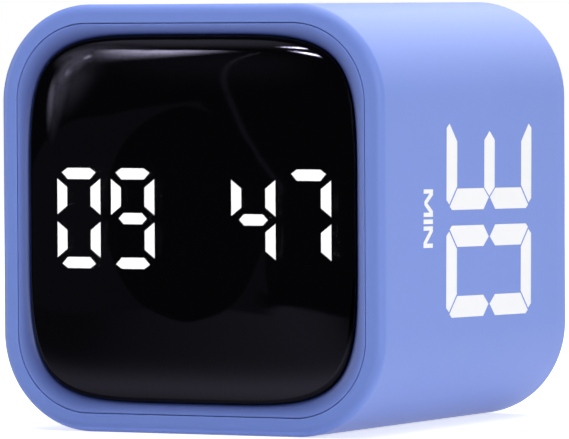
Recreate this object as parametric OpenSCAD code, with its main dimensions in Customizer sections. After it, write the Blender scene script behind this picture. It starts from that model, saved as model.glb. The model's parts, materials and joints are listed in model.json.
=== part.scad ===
// Cube timer. A square sleeve holds a lit display behind a dark lens, and is turned onto
// one of its four long sides to start a count. The keys, the sound switch and the charging
// socket are in the rear cover.
// The part stands on its lower side: z is up, the display faces -y.

/* [Case] */
// Width and height of the square front
case_w = 60; // [57:0.5:72]
// Depth from front to back
case_d = 61; // [57:0.5:80]
// Outer radius of the four long corners
corner_r = 13.75; // [11:0.25:16]
// Wall of the sleeve, which shows as the lip round the front
wall = 2.6; // [2:0.1:3]
// Rounding of the sleeve's two rims
rim_r = 1.25; // [0.5:0.05:1.6]
// Gap of the parting lines round the bezel and the rear cover
seam = 0.1; // [0.05:0.01:0.2]
// Height of the ledge inside the sleeve that stops the bezel
ledge_h = 1.2; // [0.8:0.1:1.6]
// Thickness of that ledge
ledge_t = 2; // [1.5:0.1:3]
// Wall of the thin inner mouldings
thin_wall = 1.2; // [0.8:0.1:1.5]
// Length of the sleeve's screw columns
column_l = 15; // [12:1:24]
// Radius of the sleeve's screw columns
column_r = 3.4; // [3:0.1:4]
// Distance from the sleeve's inner walls to the middle of a screw column
column_in = 6.2; // [5.5:0.1:7.5]

/* [Lens and bezel] */
// Width of the bezel's rolled ring at the middle of a side
ring_w = 1.6; // [1:0.1:2]
// How far the ring rolls back to meet the lens
ring_drop = 1; // [0.8:0.05:1.3]
// How far the ring's outer edge lies behind the sleeve's rim
ring_sink = 0.05; // [0.02:0.01:0.2]
// How far past the lens's edge the roll of the ring would stand upright
roll_past = 0.05; // [0.03:0.01:0.2]
// Depth of the bezel inside the sleeve
bezel_d = 8; // [7:0.5:10]
// Thickness of the plate behind the lens
plate_t = 1.5; // [1:0.1:2]
// Thickness of the lens at its crown
lens_t = 1.8; // [1.5:0.1:2.5]
// Squareness of the lens outline: 2 is a circle and a higher number is squarer
lens_power = 4.9; // [3.5:0.1:7]
// Radius of the rounding along the edge of the lens
lens_edge_r = 0.65; // [0.4:0.05:0.8]
// Gap round the lens
lens_gap = 0.08; // [0.05:0.01:0.2]
// Thickness of the adhesive tape under the lens and the battery
tape_t = 0.3; // [0.2:0.05:0.5]
// Width of the tape under the lens
tape_w = 1.8; // [1:0.1:2]
// Width of a snap hook
hook_w = 6; // [4:0.5:8]
// Distance from the middle of a side to each of its two hooks
hook_place = 9; // [6:0.5:12]
// How far a hook's lip reaches behind the ledge
hook_lip = 0.8; // [0.5:0.1:1]

/* [Display] */
// The four figures shown
shown = "0947"; // 4
// Height of a figure, as a share of the width of the lens
digit_share = 0.2744; // [0.2:0.0004:0.28]
// Width of a figure
digit_w = 6.9; // [5.5:0.1:7.5]
// Distance between the two figures of a pair
digit_pitch = 8.6; // [7.8:0.1:9.2]
// Distance from the edge of the lens to the outer figures
digit_side = 4.15; // [4:0.05:6]
// Thickness of a segment
segment_t = 1.58; // [1.2:0.02:2]
// Depth of the clear filling in a segment's well
filling_t = 2; // [1:0.1:3]
// Radius of a colon dot
dot_r = 0.9; // [0.6:0.1:1.2]
// Distance between the two colon dots
dot_pitch = 5.4; // [4:0.1:7]
// Depth of the reflector block with the light wells
reflector_t = 6; // [5:0.1:7]
// Rim of the reflector round the figures
reflector_rim = 1.6; // [1:0.1:2]
// Air between the lens and the reflector
reflector_gap = 0.1; // [0.05:0.05:0.3]
// Distance from the display screws to the side edges of the display board
display_screw_in = 3.55; // [3:0.05:4]
// Distance from the display screws to the upper and lower edges of the display board
display_screw_edge = 6.4; // [4:0.1:7]
// Distance from the sleeve's inner walls, above and below, to the display screws
display_screw_drop = 14.3; // [13:0.1:14.5]

/* [Battery] */
// Thickness of the battery cell
cell_t = 9; // [5:0.5:12]
// Distance from the tray's screws to the ends of the battery cell
cell_in = 3.8; // [3.7:0.1:6]
// Distance from the tray's screws to the upper and lower faces of the battery cell
cell_edge = 1.1; // [1:0.1:4]
// Distance from the display board to the battery tray
tray_stand = 3; // [2.5:0.5:5]
// Thickness of the tray's floor
tray_t = 1.5; // [1:0.1:2]
// Height of the wall round the battery
tray_wall_h = 6; // [3:0.5:8]

/* [Rear cover] */
// Thickness of the rear cover
cover_t = 2; // [1.6:0.1:3]
// Depth of the cover's skirt, from the rear face to its seat on the screw columns
cover_d = 6; // [5:0.5:7]
// Radius of a key
key_r = 3.5; // [2.5:0.1:4]
// Gap round a key
key_gap = 0.15; // [0.1:0.05:0.3]
// How far the keys and the sound knob lie below the rear face
key_sink = 0.2; // [0.1:0.05:0.4]
// Travel of a key
key_travel = 0.25; // [0.15:0.05:0.3]
// Distance between two keys, as a share of half the cover's width
key_share = 0.476; // [0.42:0.002:0.5]
// Height of the row of keys above the middle, as a share of half the cover's width
key_up_share = -0.128; // [-0.16:0.002:-0.12]
// Height of the row with the sound switch and the socket, as such a share
port_up_share = -0.55; // [-0.58:0.002:-0.52]
// Distance of the sound switch and the socket from the middle, as such a share
port_share = 0.33; // [0.31:0.002:0.4]
// Travel of the sound switch to each side
knob_travel = 2; // [1:0.25:2.5]
// Length of the sound knob
knob_l = 3.6; // [2.5:0.1:4]
// Height of the sound knob
knob_h = 2.6; // [2:0.1:3]
// Radius of the speaker
speaker_r = 10; // [8:0.5:11]
// Height of the speaker above the middle, as a share of half the cover's width
speaker_up_share = 0.476; // [0.46:0.002:0.5]
// Depth of the speaker's frame
speaker_t = 4.2; // [3:0.1:5]
// Radius of a sound hole
sound_hole_r = 0.8; // [0.5:0.1:1]
// Distance between two sound holes
sound_pitch = 3.2; // [2.6:0.1:3.6]

/* [Boards] */
// Thickness of both circuit boards
board_t = 1.2; // [0.8:0.1:1.6]
// Height of the charging socket above the main board
socket_h = 6.5; // [6:0.1:8]
// How far the socket's mouth lies below the rear face
socket_sink = 0.4; // [0.2:0.1:0.8]
// Outer length of the charging socket's shell
socket_l = 8.94; // [8.8:0.01:9.2]
// Outer height of the charging socket's shell
socket_w = 3.26; // [3.1:0.01:3.4]
// Wall of the socket's shell
socket_wall = 0.3; // [0.2:0.05:0.4]
// Height of the key switches and the sound switch above the main board
switch_h = 3.5; // [3:0.1:3.6]
// Radius of a screw's shank
screw_r = 1; // [0.8:0.05:1.2]
// Radius of a screw's head
screw_head_r = 1.9; // [1.6:0.1:2]
// Height of a screw's head
screw_head_t = 1.4; // [1:0.1:1.6]
// Length of the screws that hold the cover
cover_screw_l = 10; // [8:0.5:14]
// Clearance of sliding and seated pieces
fit = 0.05; // [0.02:0.01:0.1]
// Radius of an insulated lead
lead_r = 0.6; // [0.4:0.05:0.7]
// Width of the flat cable between the boards
cable_w = 10; // [6:1:12]
// Thickness of the flat cable
cable_t = 0.35; // [0.2:0.05:0.6]

/* [Hidden] */
$fn = 64;
// Reach of cuts past the faces that they open
past = 1;
// Free end beyond the tip of a screw
screw_end = 0.5;
// Radius of the dome on a screw's head
screw_dome_r = 1.6 * screw_head_r;

// Frame of the case
y_front = -case_d / 2;
z_mid = case_w / 2;

// Outlines that nest in one another
bore_half = case_w / 2 - wall;
bore_corner = corner_r - wall;
plug_half = bore_half - seam;
plug_corner = bore_corner - seam;
ledge_half = bore_half - ledge_h;
lens_half = plug_half - ring_w;
column_place = bore_half - column_in;

// Depths from the front plane, in the order of assembly
lens_seat = lens_t + tape_t;
plate_back = lens_seat + plate_t;
reflector_front = lens_t + reflector_gap;
display_front = reflector_front + reflector_t;
display_back = display_front + board_t;
tray_front = display_back + tray_stand;
tray_back = tray_front + tray_t;
cell_front = tray_back + tape_t;
ledge_back = bezel_d + ledge_t;
cover_inner = case_d - cover_t;
cover_seat = case_d - cover_d;
main_back = case_d - socket_sink - socket_h;
main_front = main_back - board_t;
switch_top = main_back + switch_h;
key_back = case_d - key_sink;

// Steps round the lens, rows on its face and rows on its rounded edge
lens_steps = 96;
lens_rows = 6;
edge_rows = 4;
// Share of the way from the crown to the edge at which the rounding starts
edge_share = 1 - lens_edge_r / lens_half;
// Roll of the ring: the sine of its slope at the lens, and the shares of its width that
// its rows lie at, from outside the seam to inside the lens
roll_sine = ring_w / (ring_w + roll_past);
roll_shares = [-0.15, 0.2, 0.45, 0.65, 0.8, 0.91, 0.98, 1.1];

// Snap hooks lie just inside the ledge
hook_gap = 0.15;
hook_face = ledge_half - hook_gap;
post_r = screw_r + thin_wall;

// Figures
digit_h = digit_share * 2 * lens_half;
digit_outer = lens_half - digit_side - digit_w / 2;
digit_x = [-digit_outer, digit_pitch - digit_outer, digit_outer - digit_pitch, digit_outer];
pair_half = digit_outer - digit_pitch / 2;
reflector_half = [digit_outer + digit_w / 2 + reflector_rim, digit_h / 2 + reflector_rim];
LIT = ["abcdef", "bc", "abged", "abgcd", "fgbc", "afgcd", "afgedc", "abc", "abcdefg", "abcdfg"];
SEGMENTS = "abcdefg";
// Bars: inset of the pointed tips, length and fall of the points, inset of the middle bar
tip_in = 0.75;
tip_slope = 0.9;
tip_fall = 0.62;
middle_in = 1.2;
// Uprights: gap to the bars at the end and at the middle, and the slant of the ends
upright_end = 1.5;
upright_middle = 0.5;
upright_slant = 1.2;
// Lamps behind the segments, and the pegs that place the reflector on the board
led_l = 1.6;
led_w = 0.8;
led_t = 0.6;
peg_r = 0.9;

// Display board, which lies between the hooks, and its screws above and below the reflector
board_gap = 0.5;
display_screw = [hook_face - thin_wall - board_gap - display_screw_in, bore_half - display_screw_drop];
display_half = [display_screw.x + display_screw_in, display_screw.y + display_screw_edge];

// Battery
cell = [2 * (display_screw.x - cell_in), 2 * (display_screw.y - cell_edge), cell_t];
cell_corner = 1.5;
protection_t = 1.2;
// Battery tray: windows in its floor and strips of tape, as shares of the cell
window_pitch = cell.x / 3.2;
window_half = [cell.x / 9, cell.y / 4];
strip = [0.8 * cell.x, 0.12 * cell.y];
strip_rise = 0.4 * cell.y;

// Rear layout
rear_half = plug_half;
key_pitch = key_share * rear_half;
key_x = [-key_pitch, 0, key_pitch];
key_up = key_up_share * rear_half;
port_x = port_share * rear_half;
port_up = port_up_share * rear_half;
speaker_up = speaker_up_share * rear_half;

// Main board: its gaps to the skirt, the speaker and the columns, and its screws
main_gap = 2;
speaker_gap = 1.5;
main_half = plug_half - thin_wall - main_gap;
main_top = speaker_up - speaker_r - speaker_gap;
column_clear = 1.2;
main_narrow = column_place - column_r - column_clear;
side_screw_in = 3.6;
side_screw_drop = 4.5;
foot_screw_in = 2.6;
board_screw = [[side_screw_in - main_half, key_up - side_screw_drop],
               [main_half - side_screw_in, key_up - side_screw_drop],
               [0, foot_screw_in - main_half]];
// Plastic under the heads of the cover screws, and the rounding of the cover's edge
cover_shelf = 1.6;
cover_edge_r = 0.3;

// Keys and key switches
key_flange = 0.7;
key_flange_t = 0.7;
flange_gap = 0.2;
key_edge_r = 0.4;
key_dish = 0.35;
key_dish_r = 4 * key_r;
plunger_r = 1.75;
plunger_in = 0.8;
plunger_spare = 0.35;
plunger_well = plunger_in + key_travel + plunger_spare;
key_switch_w = 6;
key_leg_pitch = 4.5;
key_leg_w = 0.7;
key_front = cover_inner - flange_gap - key_flange_t;

// Sound switch: its body, the lever in it, and the knob with its flange
switch_l = 9;
switch_w = 3.8;
lever_w = 1.5;
lever_in = 1.2;
lever_well = 1.5;
lever_cap = 1;
lever_top = key_back - lever_cap;
knob_gap = 0.2;
knob_corner = 0.5;
flange_end = 0.5;
flange_edge = 0.9;
knob_flange_half = [knob_l / 2 + 2 * knob_travel + flange_end, knob_h / 2 + flange_edge];
grip_d = 0.3;
grip_w = 0.35;
grip_pitch = 0.9;

// Charging socket
socket = [socket_l, socket_w];
socket_mouth_gap = 0.22;
socket_floor = 0.9;
tongue_t = 0.7;
tongue_in = 0.8;
tongue_sink = 1.2;

// Speaker
gasket_t = 0.5;
speaker_front = cover_inner - gasket_t - speaker_t;
speaker_collar = 3;
magnet_t = 2;
magnet_r = 0.62 * speaker_r;
pole_r = speaker_r / 2;
pole_t = 1.4;
rim_t = 1.4;
cup_in = 1.4;
cup_wall = 0.8;
cup_floor = 1;
rim_w = 1.2;
cone_r = speaker_r - rim_w;
seat_t = 0.8;
cone_seat = speaker_t - seat_t;
cone_t = 0.3;
cone_roll = 1.1;
cone_slope_w = 4.2;
cone_flat_r = cone_r - cone_slope_w;
cone_fall = 1.2;

// Chips: sizes with the legs along x, and places
driver_size = [4, 10, 1.6];
driver_legs = 8;
driver_pitch = 1.2;
driver_up = 4;
micro_size = [7, 7, 1.4];
micro_legs = 8;
micro_pitch = 0.8;
charge_size = [3.9, 4.9, 1.5];
charge_legs = 4;
charge_pitch = 1.27;
tilt_size = [2.5, 3, 1];
tilt_place = main_half * [-0.54, -0.332];
passive_size = [1.25, 2, 0.9];
passive_pitch = 2.2;
passive_count = 5;
passive_drop = 2;
passive_x = -0.6 * main_half;
passive_up = main_top - passive_drop;
// Legs of a chip: thickness, and reach of the shoulder, the knee and the foot from the body
leg_t = 0.2;
leg_rise = 0.6;
leg_shoulder = 0.4;
leg_knee = 0.7;
leg_foot = 1.3;
leg_in = 0.1;
leg_share = 0.4;
chip_stand = 0.1;

// Cable, leads and their connectors
header_end = 1;
header = [cable_w + 2 * header_end, 2.6, 2.5];
header_gap = 0.9;
cable_up = board_screw[2].y + screw_head_r + header_gap + header.y / 2;
cable_sag = 2.2;
// The microcontroller lies between the header and the row of small parts
micro_place = [-0.166 * main_half, (cable_up + header.y / 2 + passive_up - passive_size.y / 2) / 2];
charge_rise = 4.2;
charge_place = [0.332 * main_half, cable_up + charge_rise];
plug_housing = [6, 4.6, 6];
plug_place = main_half * [0.54, -0.25];
lead_pitch = 2.4;
battery_lead_out = 8;
battery_lead_drop = 14;
speaker_lead_out = 7;
speaker_lead_drop = 5.5;
speaker_lead_in = 2.4;
speaker_pad_in = 1.6;
speaker_lead_pitch = 3.2;

// Helpers for places and outlines

// A point by its distance right of, behind and above the middle of the front
function from_front(x, depth, up) = [x, y_front + depth, z_mid + up];

// Extrudes a face outline, drawn from the middle of the case with x right and y up,
// from one depth to a greater one
module slab(front, back) {
    translate([0, y_front + back, z_mid]) rotate([90, 0, 0])
        linear_extrude(back - front) children();
}

// Sets a piece on a surface at a depth, with its z axis towards the front or the back
module facing_front(place, depth) {
    translate(from_front(place.x, depth, place.y)) rotate([90, 0, 0]) children();
}

module facing_back(place, depth) {
    translate(from_front(place.x, depth, place.y)) rotate([-90, 0, 0]) children();
}

// A block that stands on z = 0
module block(size) {
    translate([-size.x / 2, -size.y / 2, 0]) cube(size);
}

// A rectangle with round corners, by its half sizes
module rounded(half_x, half_y, r) {
    square([2 * half_x, 2 * (half_y - r)], center = true);
    square([2 * (half_x - r), 2 * half_y], center = true);
    for (sx = [-1, 1], sy = [-1, 1])
        translate([sx * (half_x - r), sy * (half_y - r)]) circle(r);
}

module stadium(size) {
    straight = size.x - size.y;
    square([straight, size.y], center = true);
    for (s = [-1, 1]) translate([s * straight / 2, 0]) circle(size.y / 2);
}

// Carries a profile round a rounded square. In the profile, x is the way out from the
// square's edge and y is the depth from the front plane
module ring(half, r) {
    translate(from_front(0, 0, 0)) rotate([90, 0, 0])
        for (turn = [0:90:270]) rotate(turn) {
            translate([half - r, half - r]) rotate_extrude(angle = 90)
                mirror([0, 1]) translate([r, 0]) children();
            rotate([90, 0, 0]) linear_extrude(2 * (half - r), center = true)
                mirror([0, 1]) translate([half, 0]) children();
        }
}

module four_corners(place) {
    for (sx = [-1, 1], sy = [-1, 1]) translate([sx * place.x, sy * place.y]) children();
}

// Outline of the lens: a square whose sides bow and whose corners are one soft curve
function lens_reach(half, a) =
    half / pow(pow(abs(cos(a)), lens_power) + pow(abs(sin(a)), lens_power), 1 / lens_power);
// Outline of the bezel: a square with round corners
function plug_reach(a) = let (
    c = max(abs(cos(a)), abs(sin(a))), s = min(abs(cos(a)), abs(sin(a))),
    middle = plug_half - plug_corner, along = middle * (c + s)
) plug_half * s / c <= middle ? plug_half / c
    : along + sqrt(along * along - 2 * middle * middle + plug_corner * plug_corner);

function step_angle(i) = 360 * i / lens_steps;
function lens_point(half, i) =
    let (a = step_angle(i)) lens_reach(half, a) * [cos(a), sin(a)];
// Depth of the lens surface at a share of the way from its crown to its edge
function lens_fall(s) = let (t = max(0, (s - edge_share) / (1 - edge_share)))
    (ring_drop - lens_edge_r) * (pow(s, 2) + pow(s, 10)) / 2 + lens_edge_r * (1 - sqrt(max(0, 1 - t * t)));
// Depth of the ring's surface at a share of the way from the seam to the lens: an arc
function roll_fall(s) = ring_sink + (ring_drop - ring_sink)
    * (1 - sqrt(1 - pow(min(s, 1) * roll_sine, 2))) / (1 - sqrt(1 - roll_sine * roll_sine));

// All of the lens outline, or of the way from the bezel's outline to it, at one depth
function lens_ring(half, depth) = [for (i = [0:lens_steps - 1])
    let (p = lens_point(half, i)) from_front(p.x, depth, p.y)];
function roll_ring(s, depth) = [for (i = [0:lens_steps - 1]) let (
    a = step_angle(i), reach = (1 - s) * plug_reach(a) + s * lens_reach(lens_half + lens_gap, a)
) from_front(reach * cos(a), depth, reach * sin(a))];

// Closes a stack of such rings, in order from the front, with flat or pointed ends
module ring_stack(rings, front, back) {
    points = concat([for (r = rings) each r], [from_front(0, front, 0), from_front(0, back, 0)]);
    last = (len(rings) - 1) * lens_steps;
    tip = len(points) - 2;
    skin = [for (k = [0:len(rings) - 2], i = [0:lens_steps - 1]) let (
        a = k * lens_steps + i, b = k * lens_steps + (i + 1) % lens_steps
    ) each [[a, b, a + lens_steps], [b, b + lens_steps, a + lens_steps]]];
    caps = [for (i = [0:lens_steps - 1]) let (j = (i + 1) % lens_steps)
        each [[tip, j, i], [tip + 1, last + i, last + j]]];
    polyhedron(points, concat(skin, caps));
}

// A figure's segments
module bar() {
    tip = digit_w / 2 - tip_in;
    edge = tip - tip_slope;
    top = digit_h / 2;
    polygon([[-tip, top - tip_fall], [-edge, top - segment_t], [edge, top - segment_t],
             [tip, top - tip_fall], [edge, top], [-edge, top]]);
}

module middle_bar() {
    tip = digit_w / 2 - middle_in;
    edge = tip - segment_t / 2;
    polygon([[-tip, 0], [-edge, -segment_t / 2], [edge, -segment_t / 2],
             [tip, 0], [edge, segment_t / 2], [-edge, segment_t / 2]]);
}

module upright() {
    outer = -digit_w / 2;
    inner = outer + segment_t;
    top = digit_h / 2 - upright_end;
    polygon([[outer, upright_middle], [inner, upright_middle + upright_slant],
             [inner, top - upright_slant], [outer, top]]);
}

module segment(name) {
    if (name == "a") bar();
    if (name == "b") mirror([1, 0]) upright();
    if (name == "c") rotate(180) upright();
    if (name == "d") mirror([0, 1]) bar();
    if (name == "e") mirror([0, 1]) upright();
    if (name == "f") upright();
    if (name == "g") middle_bar();
}

function has(names, name) = len(search(name, names)) > 0;
function is_lit(i, name) = has(LIT[ord(shown[i]) - ord("0")], name);

// Middle of a segment, for the lamp behind it
function segment_side(name) = has("bc", name) ? 1 : has("ef", name) ? -1 : 0;
function segment_rise(name) =
    name == "a" ? 2 : name == "d" ? -2 : has("bf", name) ? 1 : name == "g" ? 0 : -1;
function segment_middle(name) = [
    segment_side(name) * (digit_w - segment_t) / 2,
    segment_rise(name) * (digit_h - segment_t) / 4
];

module colon() {
    for (s = [-1, 1]) translate([0, s * dot_pitch / 2]) circle(dot_r);
}

// Small parts that repeat

// A bent leg of a chip, in profile: x out from the body and y up from the board
module leg(width) {
    bend = leg_t * 2 / 3;
    rotate([90, 0, 0]) linear_extrude(width, center = true)
        polygon([[-leg_in, leg_rise], [leg_shoulder, leg_rise], [leg_knee, 0], [leg_foot, 0],
                 [leg_foot, leg_t], [leg_knee + bend, leg_t], [leg_shoulder + bend, leg_rise + leg_t],
                 [-leg_in, leg_rise + leg_t]]);
}

// A chip with legs along its two x sides, standing on z = 0
module chip(size, legs, pitch) {
    translate([0, 0, chip_stand]) block(size - [0, 0, chip_stand]);
    for (turn = [0, 180], i = [0:legs - 1])
        rotate(turn) translate([size.x / 2, (i - (legs - 1) / 2) * pitch, 0]) leg(pitch * leg_share);
}

// A screw with a domed head, which bears on z = 0 with its shank below
module screw(length) {
    intersection() {
        cylinder(r = screw_head_r, h = screw_head_t);
        translate([0, 0, screw_head_t - screw_dome_r]) sphere(screw_dome_r);
    }
    translate([0, 0, -length]) cylinder(r = screw_r, h = length + screw_head_t / 2);
}

module four_screws(place, seat, length) {
    for (sx = [-1, 1], sy = [-1, 1])
        facing_back([sx * place.x, sy * place.y], seat) screw(length);
}

// A lead along a curve with four control points, as rings square to its path
function curve_at(p, t) =
    pow(1 - t, 3) * p[0] + 3 * t * pow(1 - t, 2) * p[1] + 3 * t * t * (1 - t) * p[2] + pow(t, 3) * p[3];
function curve_way(p, t) =
    pow(1 - t, 2) * (p[1] - p[0]) + 2 * t * (1 - t) * (p[2] - p[1]) + t * t * (p[3] - p[2]);
function unit(v) = v / norm(v);

module lead(p, across) {
    rings = 14;
    sides = 8;
    points = [for (i = [0:rings]) let (
        way = unit(curve_way(p, i / rings)), u = unit(cross(way, across)), v = cross(way, u)
    ) for (k = [0:sides - 1]) curve_at(p, i / rings)
        + lead_r * (cos(360 * k / sides) * u + sin(360 * k / sides) * v)];
    skin = [for (i = [0:rings - 1], k = [0:sides - 1]) let (
        a = i * sides + k, b = i * sides + (k + 1) % sides
    ) each [[a, b + sides, b], [a, a + sides, b + sides]]];
    start = [for (k = [0:sides - 1]) k];
    end = [for (k = [sides - 1:-1:0]) rings * sides + k];
    polyhedron(points, concat([start], skin, [end]));
}

// Case

module sleeve_profile() {
    translate([-wall, 0]) square([wall - rim_r, case_d]);
    translate([-rim_r, rim_r]) square([rim_r, case_d - 2 * rim_r]);
    for (d = [rim_r, case_d - rim_r]) translate([-rim_r, d]) circle(rim_r);
    translate([-wall - ledge_h, bezel_d]) square([ledge_h + wall / 2, ledge_t]);
}

// A screw column with the webs that join it to the two walls of its corner
module column_outline(r, reach) {
    circle(r);
    translate([0, -r]) square([reach, 2 * r]);
    translate([-r, 0]) square([2 * r, reach]);
}

module corner_columns(r, outline_half, outline_corner) {
    intersection() {
        rounded(outline_half, outline_half, outline_corner);
        for (sx = [0, 1], sy = [0, 1]) mirror([sx, 0]) mirror([0, sy])
            translate([column_place, column_place]) column_outline(r, corner_r);
    }
}

module case_sleeve() {
    color("#8298dc") difference() {
        union() {
            ring(case_w / 2, corner_r) sleeve_profile();
            slab(cover_seat - column_l, cover_seat)
                corner_columns(column_r, bore_half + wall / 2, bore_corner + wall / 2);
        }
        slab(cover_seat - column_l + thin_wall, cover_seat + past)
            four_corners([column_place, column_place]) circle(screw_r + fit);
    }
}

// What is cut from the bezel's front to leave the rolled ring
module roll_cut() {
    ring_stack(concat([roll_ring(roll_shares[0], -past)],
                      [for (s = roll_shares) roll_ring(s, roll_fall(s))]), -past, ring_drop);
}

module bezel_wall() {
    translate([-thin_wall, lens_seat]) square([thin_wall, bezel_d - lens_seat]);
}

// A snap hook on the right side: x out from the middle of the case, y the depth
module hook_profile() {
    root = plate_back - plate_t / 2;
    lip_front = ledge_back + fit;
    lip_back = lip_front + 2 * hook_lip;
    polygon([[hook_face - thin_wall, root], [hook_face, root], [hook_face, lip_front],
             [hook_face + hook_lip, lip_front], [hook_face, lip_back], [hook_face - thin_wall, lip_back]]);
}

module hooks() {
    translate(from_front(0, 0, 0)) rotate([90, 0, 0])
        for (turn = [0:90:270], side = [-1, 1]) rotate(turn) translate([0, side * hook_place])
            rotate([90, 0, 0]) linear_extrude(hook_w, center = true) mirror([0, 1]) hook_profile();
}

module front_bezel() {
    color("#6b7fc4") difference() {
        union() {
            slab(0, plate_back) rounded(plug_half, plug_half, plug_corner);
            ring(plug_half, plug_corner) bezel_wall();
            slab(plate_back - plate_t / 2, display_front) four_corners(display_screw) circle(post_r);
            hooks();
        }
        roll_cut();
        slab(0, lens_seat) lens_outline(lens_half + lens_gap);
        slab(0, plate_back + past)
            rounded(reflector_half.x + 2 * fit, reflector_half.y + 2 * fit, post_r / 2);
        slab(plate_back, display_front + past) four_corners(display_screw) circle(screw_r + fit);
    }
}

module lens_outline(half) {
    polygon([for (i = [0:lens_steps - 1]) lens_point(half, i)]);
}

// Lens: rings of its outline fall away from the crown, and the back is flat
module display_lens() {
    face = [for (k = [1:lens_rows]) edge_share * (1 - pow(1 - k / lens_rows, 2))];
    edge = [for (k = [1:edge_rows]) edge_share + (1 - edge_share) * sin(90 * k / edge_rows)];
    rows = [for (s = concat(face, edge)) lens_ring(lens_half * s, lens_fall(s))];
    color("#101014") ring_stack(concat(rows, [lens_ring(lens_half, lens_t)]), 0, lens_t);
}

module lens_tape() {
    color("#222222") slab(lens_t, lens_seat) difference() {
        lens_outline(lens_half - 2 * fit);
        lens_outline(lens_half - 2 * fit - tape_w);
    }
}

// Display

module figures(lit) {
    for (i = [0:3], name = SEGMENTS) if (is_lit(i, name) == lit)
        translate([digit_x[i], 0]) segment(name);
}

module pegs(r) {
    for (s = [-1, 1]) translate([s * pair_half, 0]) circle(r);
}

module segment_reflector() {
    color("#161618") difference() {
        union() {
            slab(reflector_front, display_front) rounded(reflector_half.x, reflector_half.y, post_r / 2);
            slab(display_front - past, display_back) pegs(peg_r);
        }
        slab(reflector_front - past, display_front + past) {
            figures(true);
            figures(false);
            colon();
        }
    }
}

module lit_segments() {
    color("#ffffff") slab(reflector_front, reflector_front + filling_t) figures(true);
}

module unlit_segments() {
    color("#2a2a2e") slab(reflector_front, reflector_front + filling_t) {
        figures(false);
        colon();
    }
}

module display_board() {
    color("#1d5c3a") slab(display_front, display_back) difference() {
        rounded(display_half.x, display_half.y, post_r);
        four_corners(display_screw) circle(screw_r + 2 * fit);
        pegs(peg_r + fit);
    }
}

module segment_leds() {
    color("#f4efc8") {
        for (i = [0:3], name = SEGMENTS)
            facing_front([digit_x[i], 0] + segment_middle(name), display_front)
                rotate(segment_side(name) == 0 ? 0 : 90) block([led_l, led_w, led_t]);
        for (s = [-1, 1])
            facing_front([0, s * dot_pitch / 2], display_front) block([led_w, led_w, led_t]);
    }
}

module display_driver() {
    color("#26262a") facing_back([0, driver_up], display_back) rotate(90)
        chip(driver_size, driver_legs, driver_pitch);
}

// Battery

module battery_tray() {
    pocket = [cell.x / 2 + 2 * fit, cell.y / 2 + 2 * fit];
    color("#3a3a40") difference() {
        union() {
            slab(display_back, tray_back) four_corners(display_screw) circle(post_r);
            slab(tray_front, tray_back)
                rounded(display_screw.x + post_r, display_screw.y + post_r, post_r);
            slab(tray_front, tray_back + tray_wall_h) difference() {
                rounded(pocket.x + thin_wall, pocket.y + thin_wall, post_r);
                rounded(pocket.x, pocket.y, post_r - thin_wall / 2);
            }
        }
        slab(display_back - past, tray_back + past) four_corners(display_screw) circle(screw_r + 2 * fit);
        slab(tray_front - past, tray_back + past)
            for (s = [-1, 0, 1]) translate([s * window_pitch, 0])
                rounded(window_half.x, window_half.y, post_r);
        slab(tray_back + thin_wall, tray_back + tray_wall_h + past)
            translate([pocket.x, 0]) square([4 * thin_wall, cell.y / 2], center = true);
        slab(tray_back, tray_back + tray_wall_h + past) four_corners(display_screw)
            circle(screw_head_r + 4 * fit);
    }
}

module battery_tape() {
    color("#d8d2c0") slab(tray_back, cell_front) for (s = [-1, 1])
        translate([0, s * strip_rise]) square(strip, center = true);
}

module battery_cell() {
    color("#b8bcc4") slab(cell_front, cell_front + cell.z) translate([-protection_t / 2, 0])
        rounded((cell.x - protection_t) / 2, cell.y / 2, cell_corner);
}

module cell_protection_board() {
    color("#c8952e") slab(cell_front + cell.z / 4, cell_front + 3 * cell.z / 4)
        translate([cell.x / 2 - protection_t, -cell.y / 3]) square([protection_t, 2 * cell.y / 3]);
}

module tray_screws() {
    color("#b0b4b8") four_screws(display_screw, tray_back, tray_back - plate_back - screw_end);
}

module battery_leads() {
    exit_depth = cell_front + cell.z / 2;
    end_depth = main_front - plug_housing.z;
    for (s = [-1, 1]) color(s > 0 ? "#c02020" : "#202020") {
        rise = s * lead_pitch / 2;
        lead([from_front(cell.x / 2, exit_depth, rise),
              from_front(cell.x / 2 + battery_lead_out, exit_depth, rise),
              from_front(plug_place.x, end_depth - battery_lead_drop, plug_place.y + rise),
              from_front(plug_place.x, end_depth, plug_place.y + rise)], [0, 0, 1]);
    }
}

module battery_connector() {
    color("#f0ede4") facing_front(plug_place, main_front) block(plug_housing);
}

// Flat cable between the boards

module display_header() {
    color("#f0ede4") facing_back([0, cable_up], display_back) block(header);
}

module main_header() {
    color("#f0ede4") facing_front([0, cable_up], main_front) block(header);
}

module flat_cable() {
    steps = 24;
    start = display_back + header.z;
    run = main_front - header.z - start;
    sag = [for (i = [0:steps]) [run * i / steps, -cable_sag * pow(sin(180 * i / steps), 2)]];
    color("#9aa0a8") translate(from_front(-cable_w / 2, start, cable_up)) rotate([90, 0, 90])
        linear_extrude(cable_w)
            polygon(concat([for (p = sag) p - [0, cable_t / 2]],
                           [for (i = [steps:-1:0]) sag[i] + [0, cable_t / 2]]));
}

// Main board

module main_board() {
    shoulder = -main_narrow;
    color("#1d5c3a") slab(main_front, main_back) difference() {
        union() {
            translate([-main_half, shoulder]) square([2 * main_half, main_top - shoulder]);
            translate([-main_narrow, -main_half]) square([2 * main_narrow, main_top + main_half]);
        }
        for (p = board_screw) translate(p) circle(screw_r + 2 * fit);
    }
}

module microcontroller() {
    color("#26262a") facing_front(micro_place, main_front) for (turn = [0, 90])
        rotate(turn) chip(micro_size, micro_legs, micro_pitch);
}

module charge_controller() {
    color("#26262a") facing_front(charge_place, main_front) chip(charge_size, charge_legs, charge_pitch);
}

module tilt_sensor() {
    color("#3c3c42") facing_front(tilt_place, main_front) block(tilt_size);
}

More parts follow.
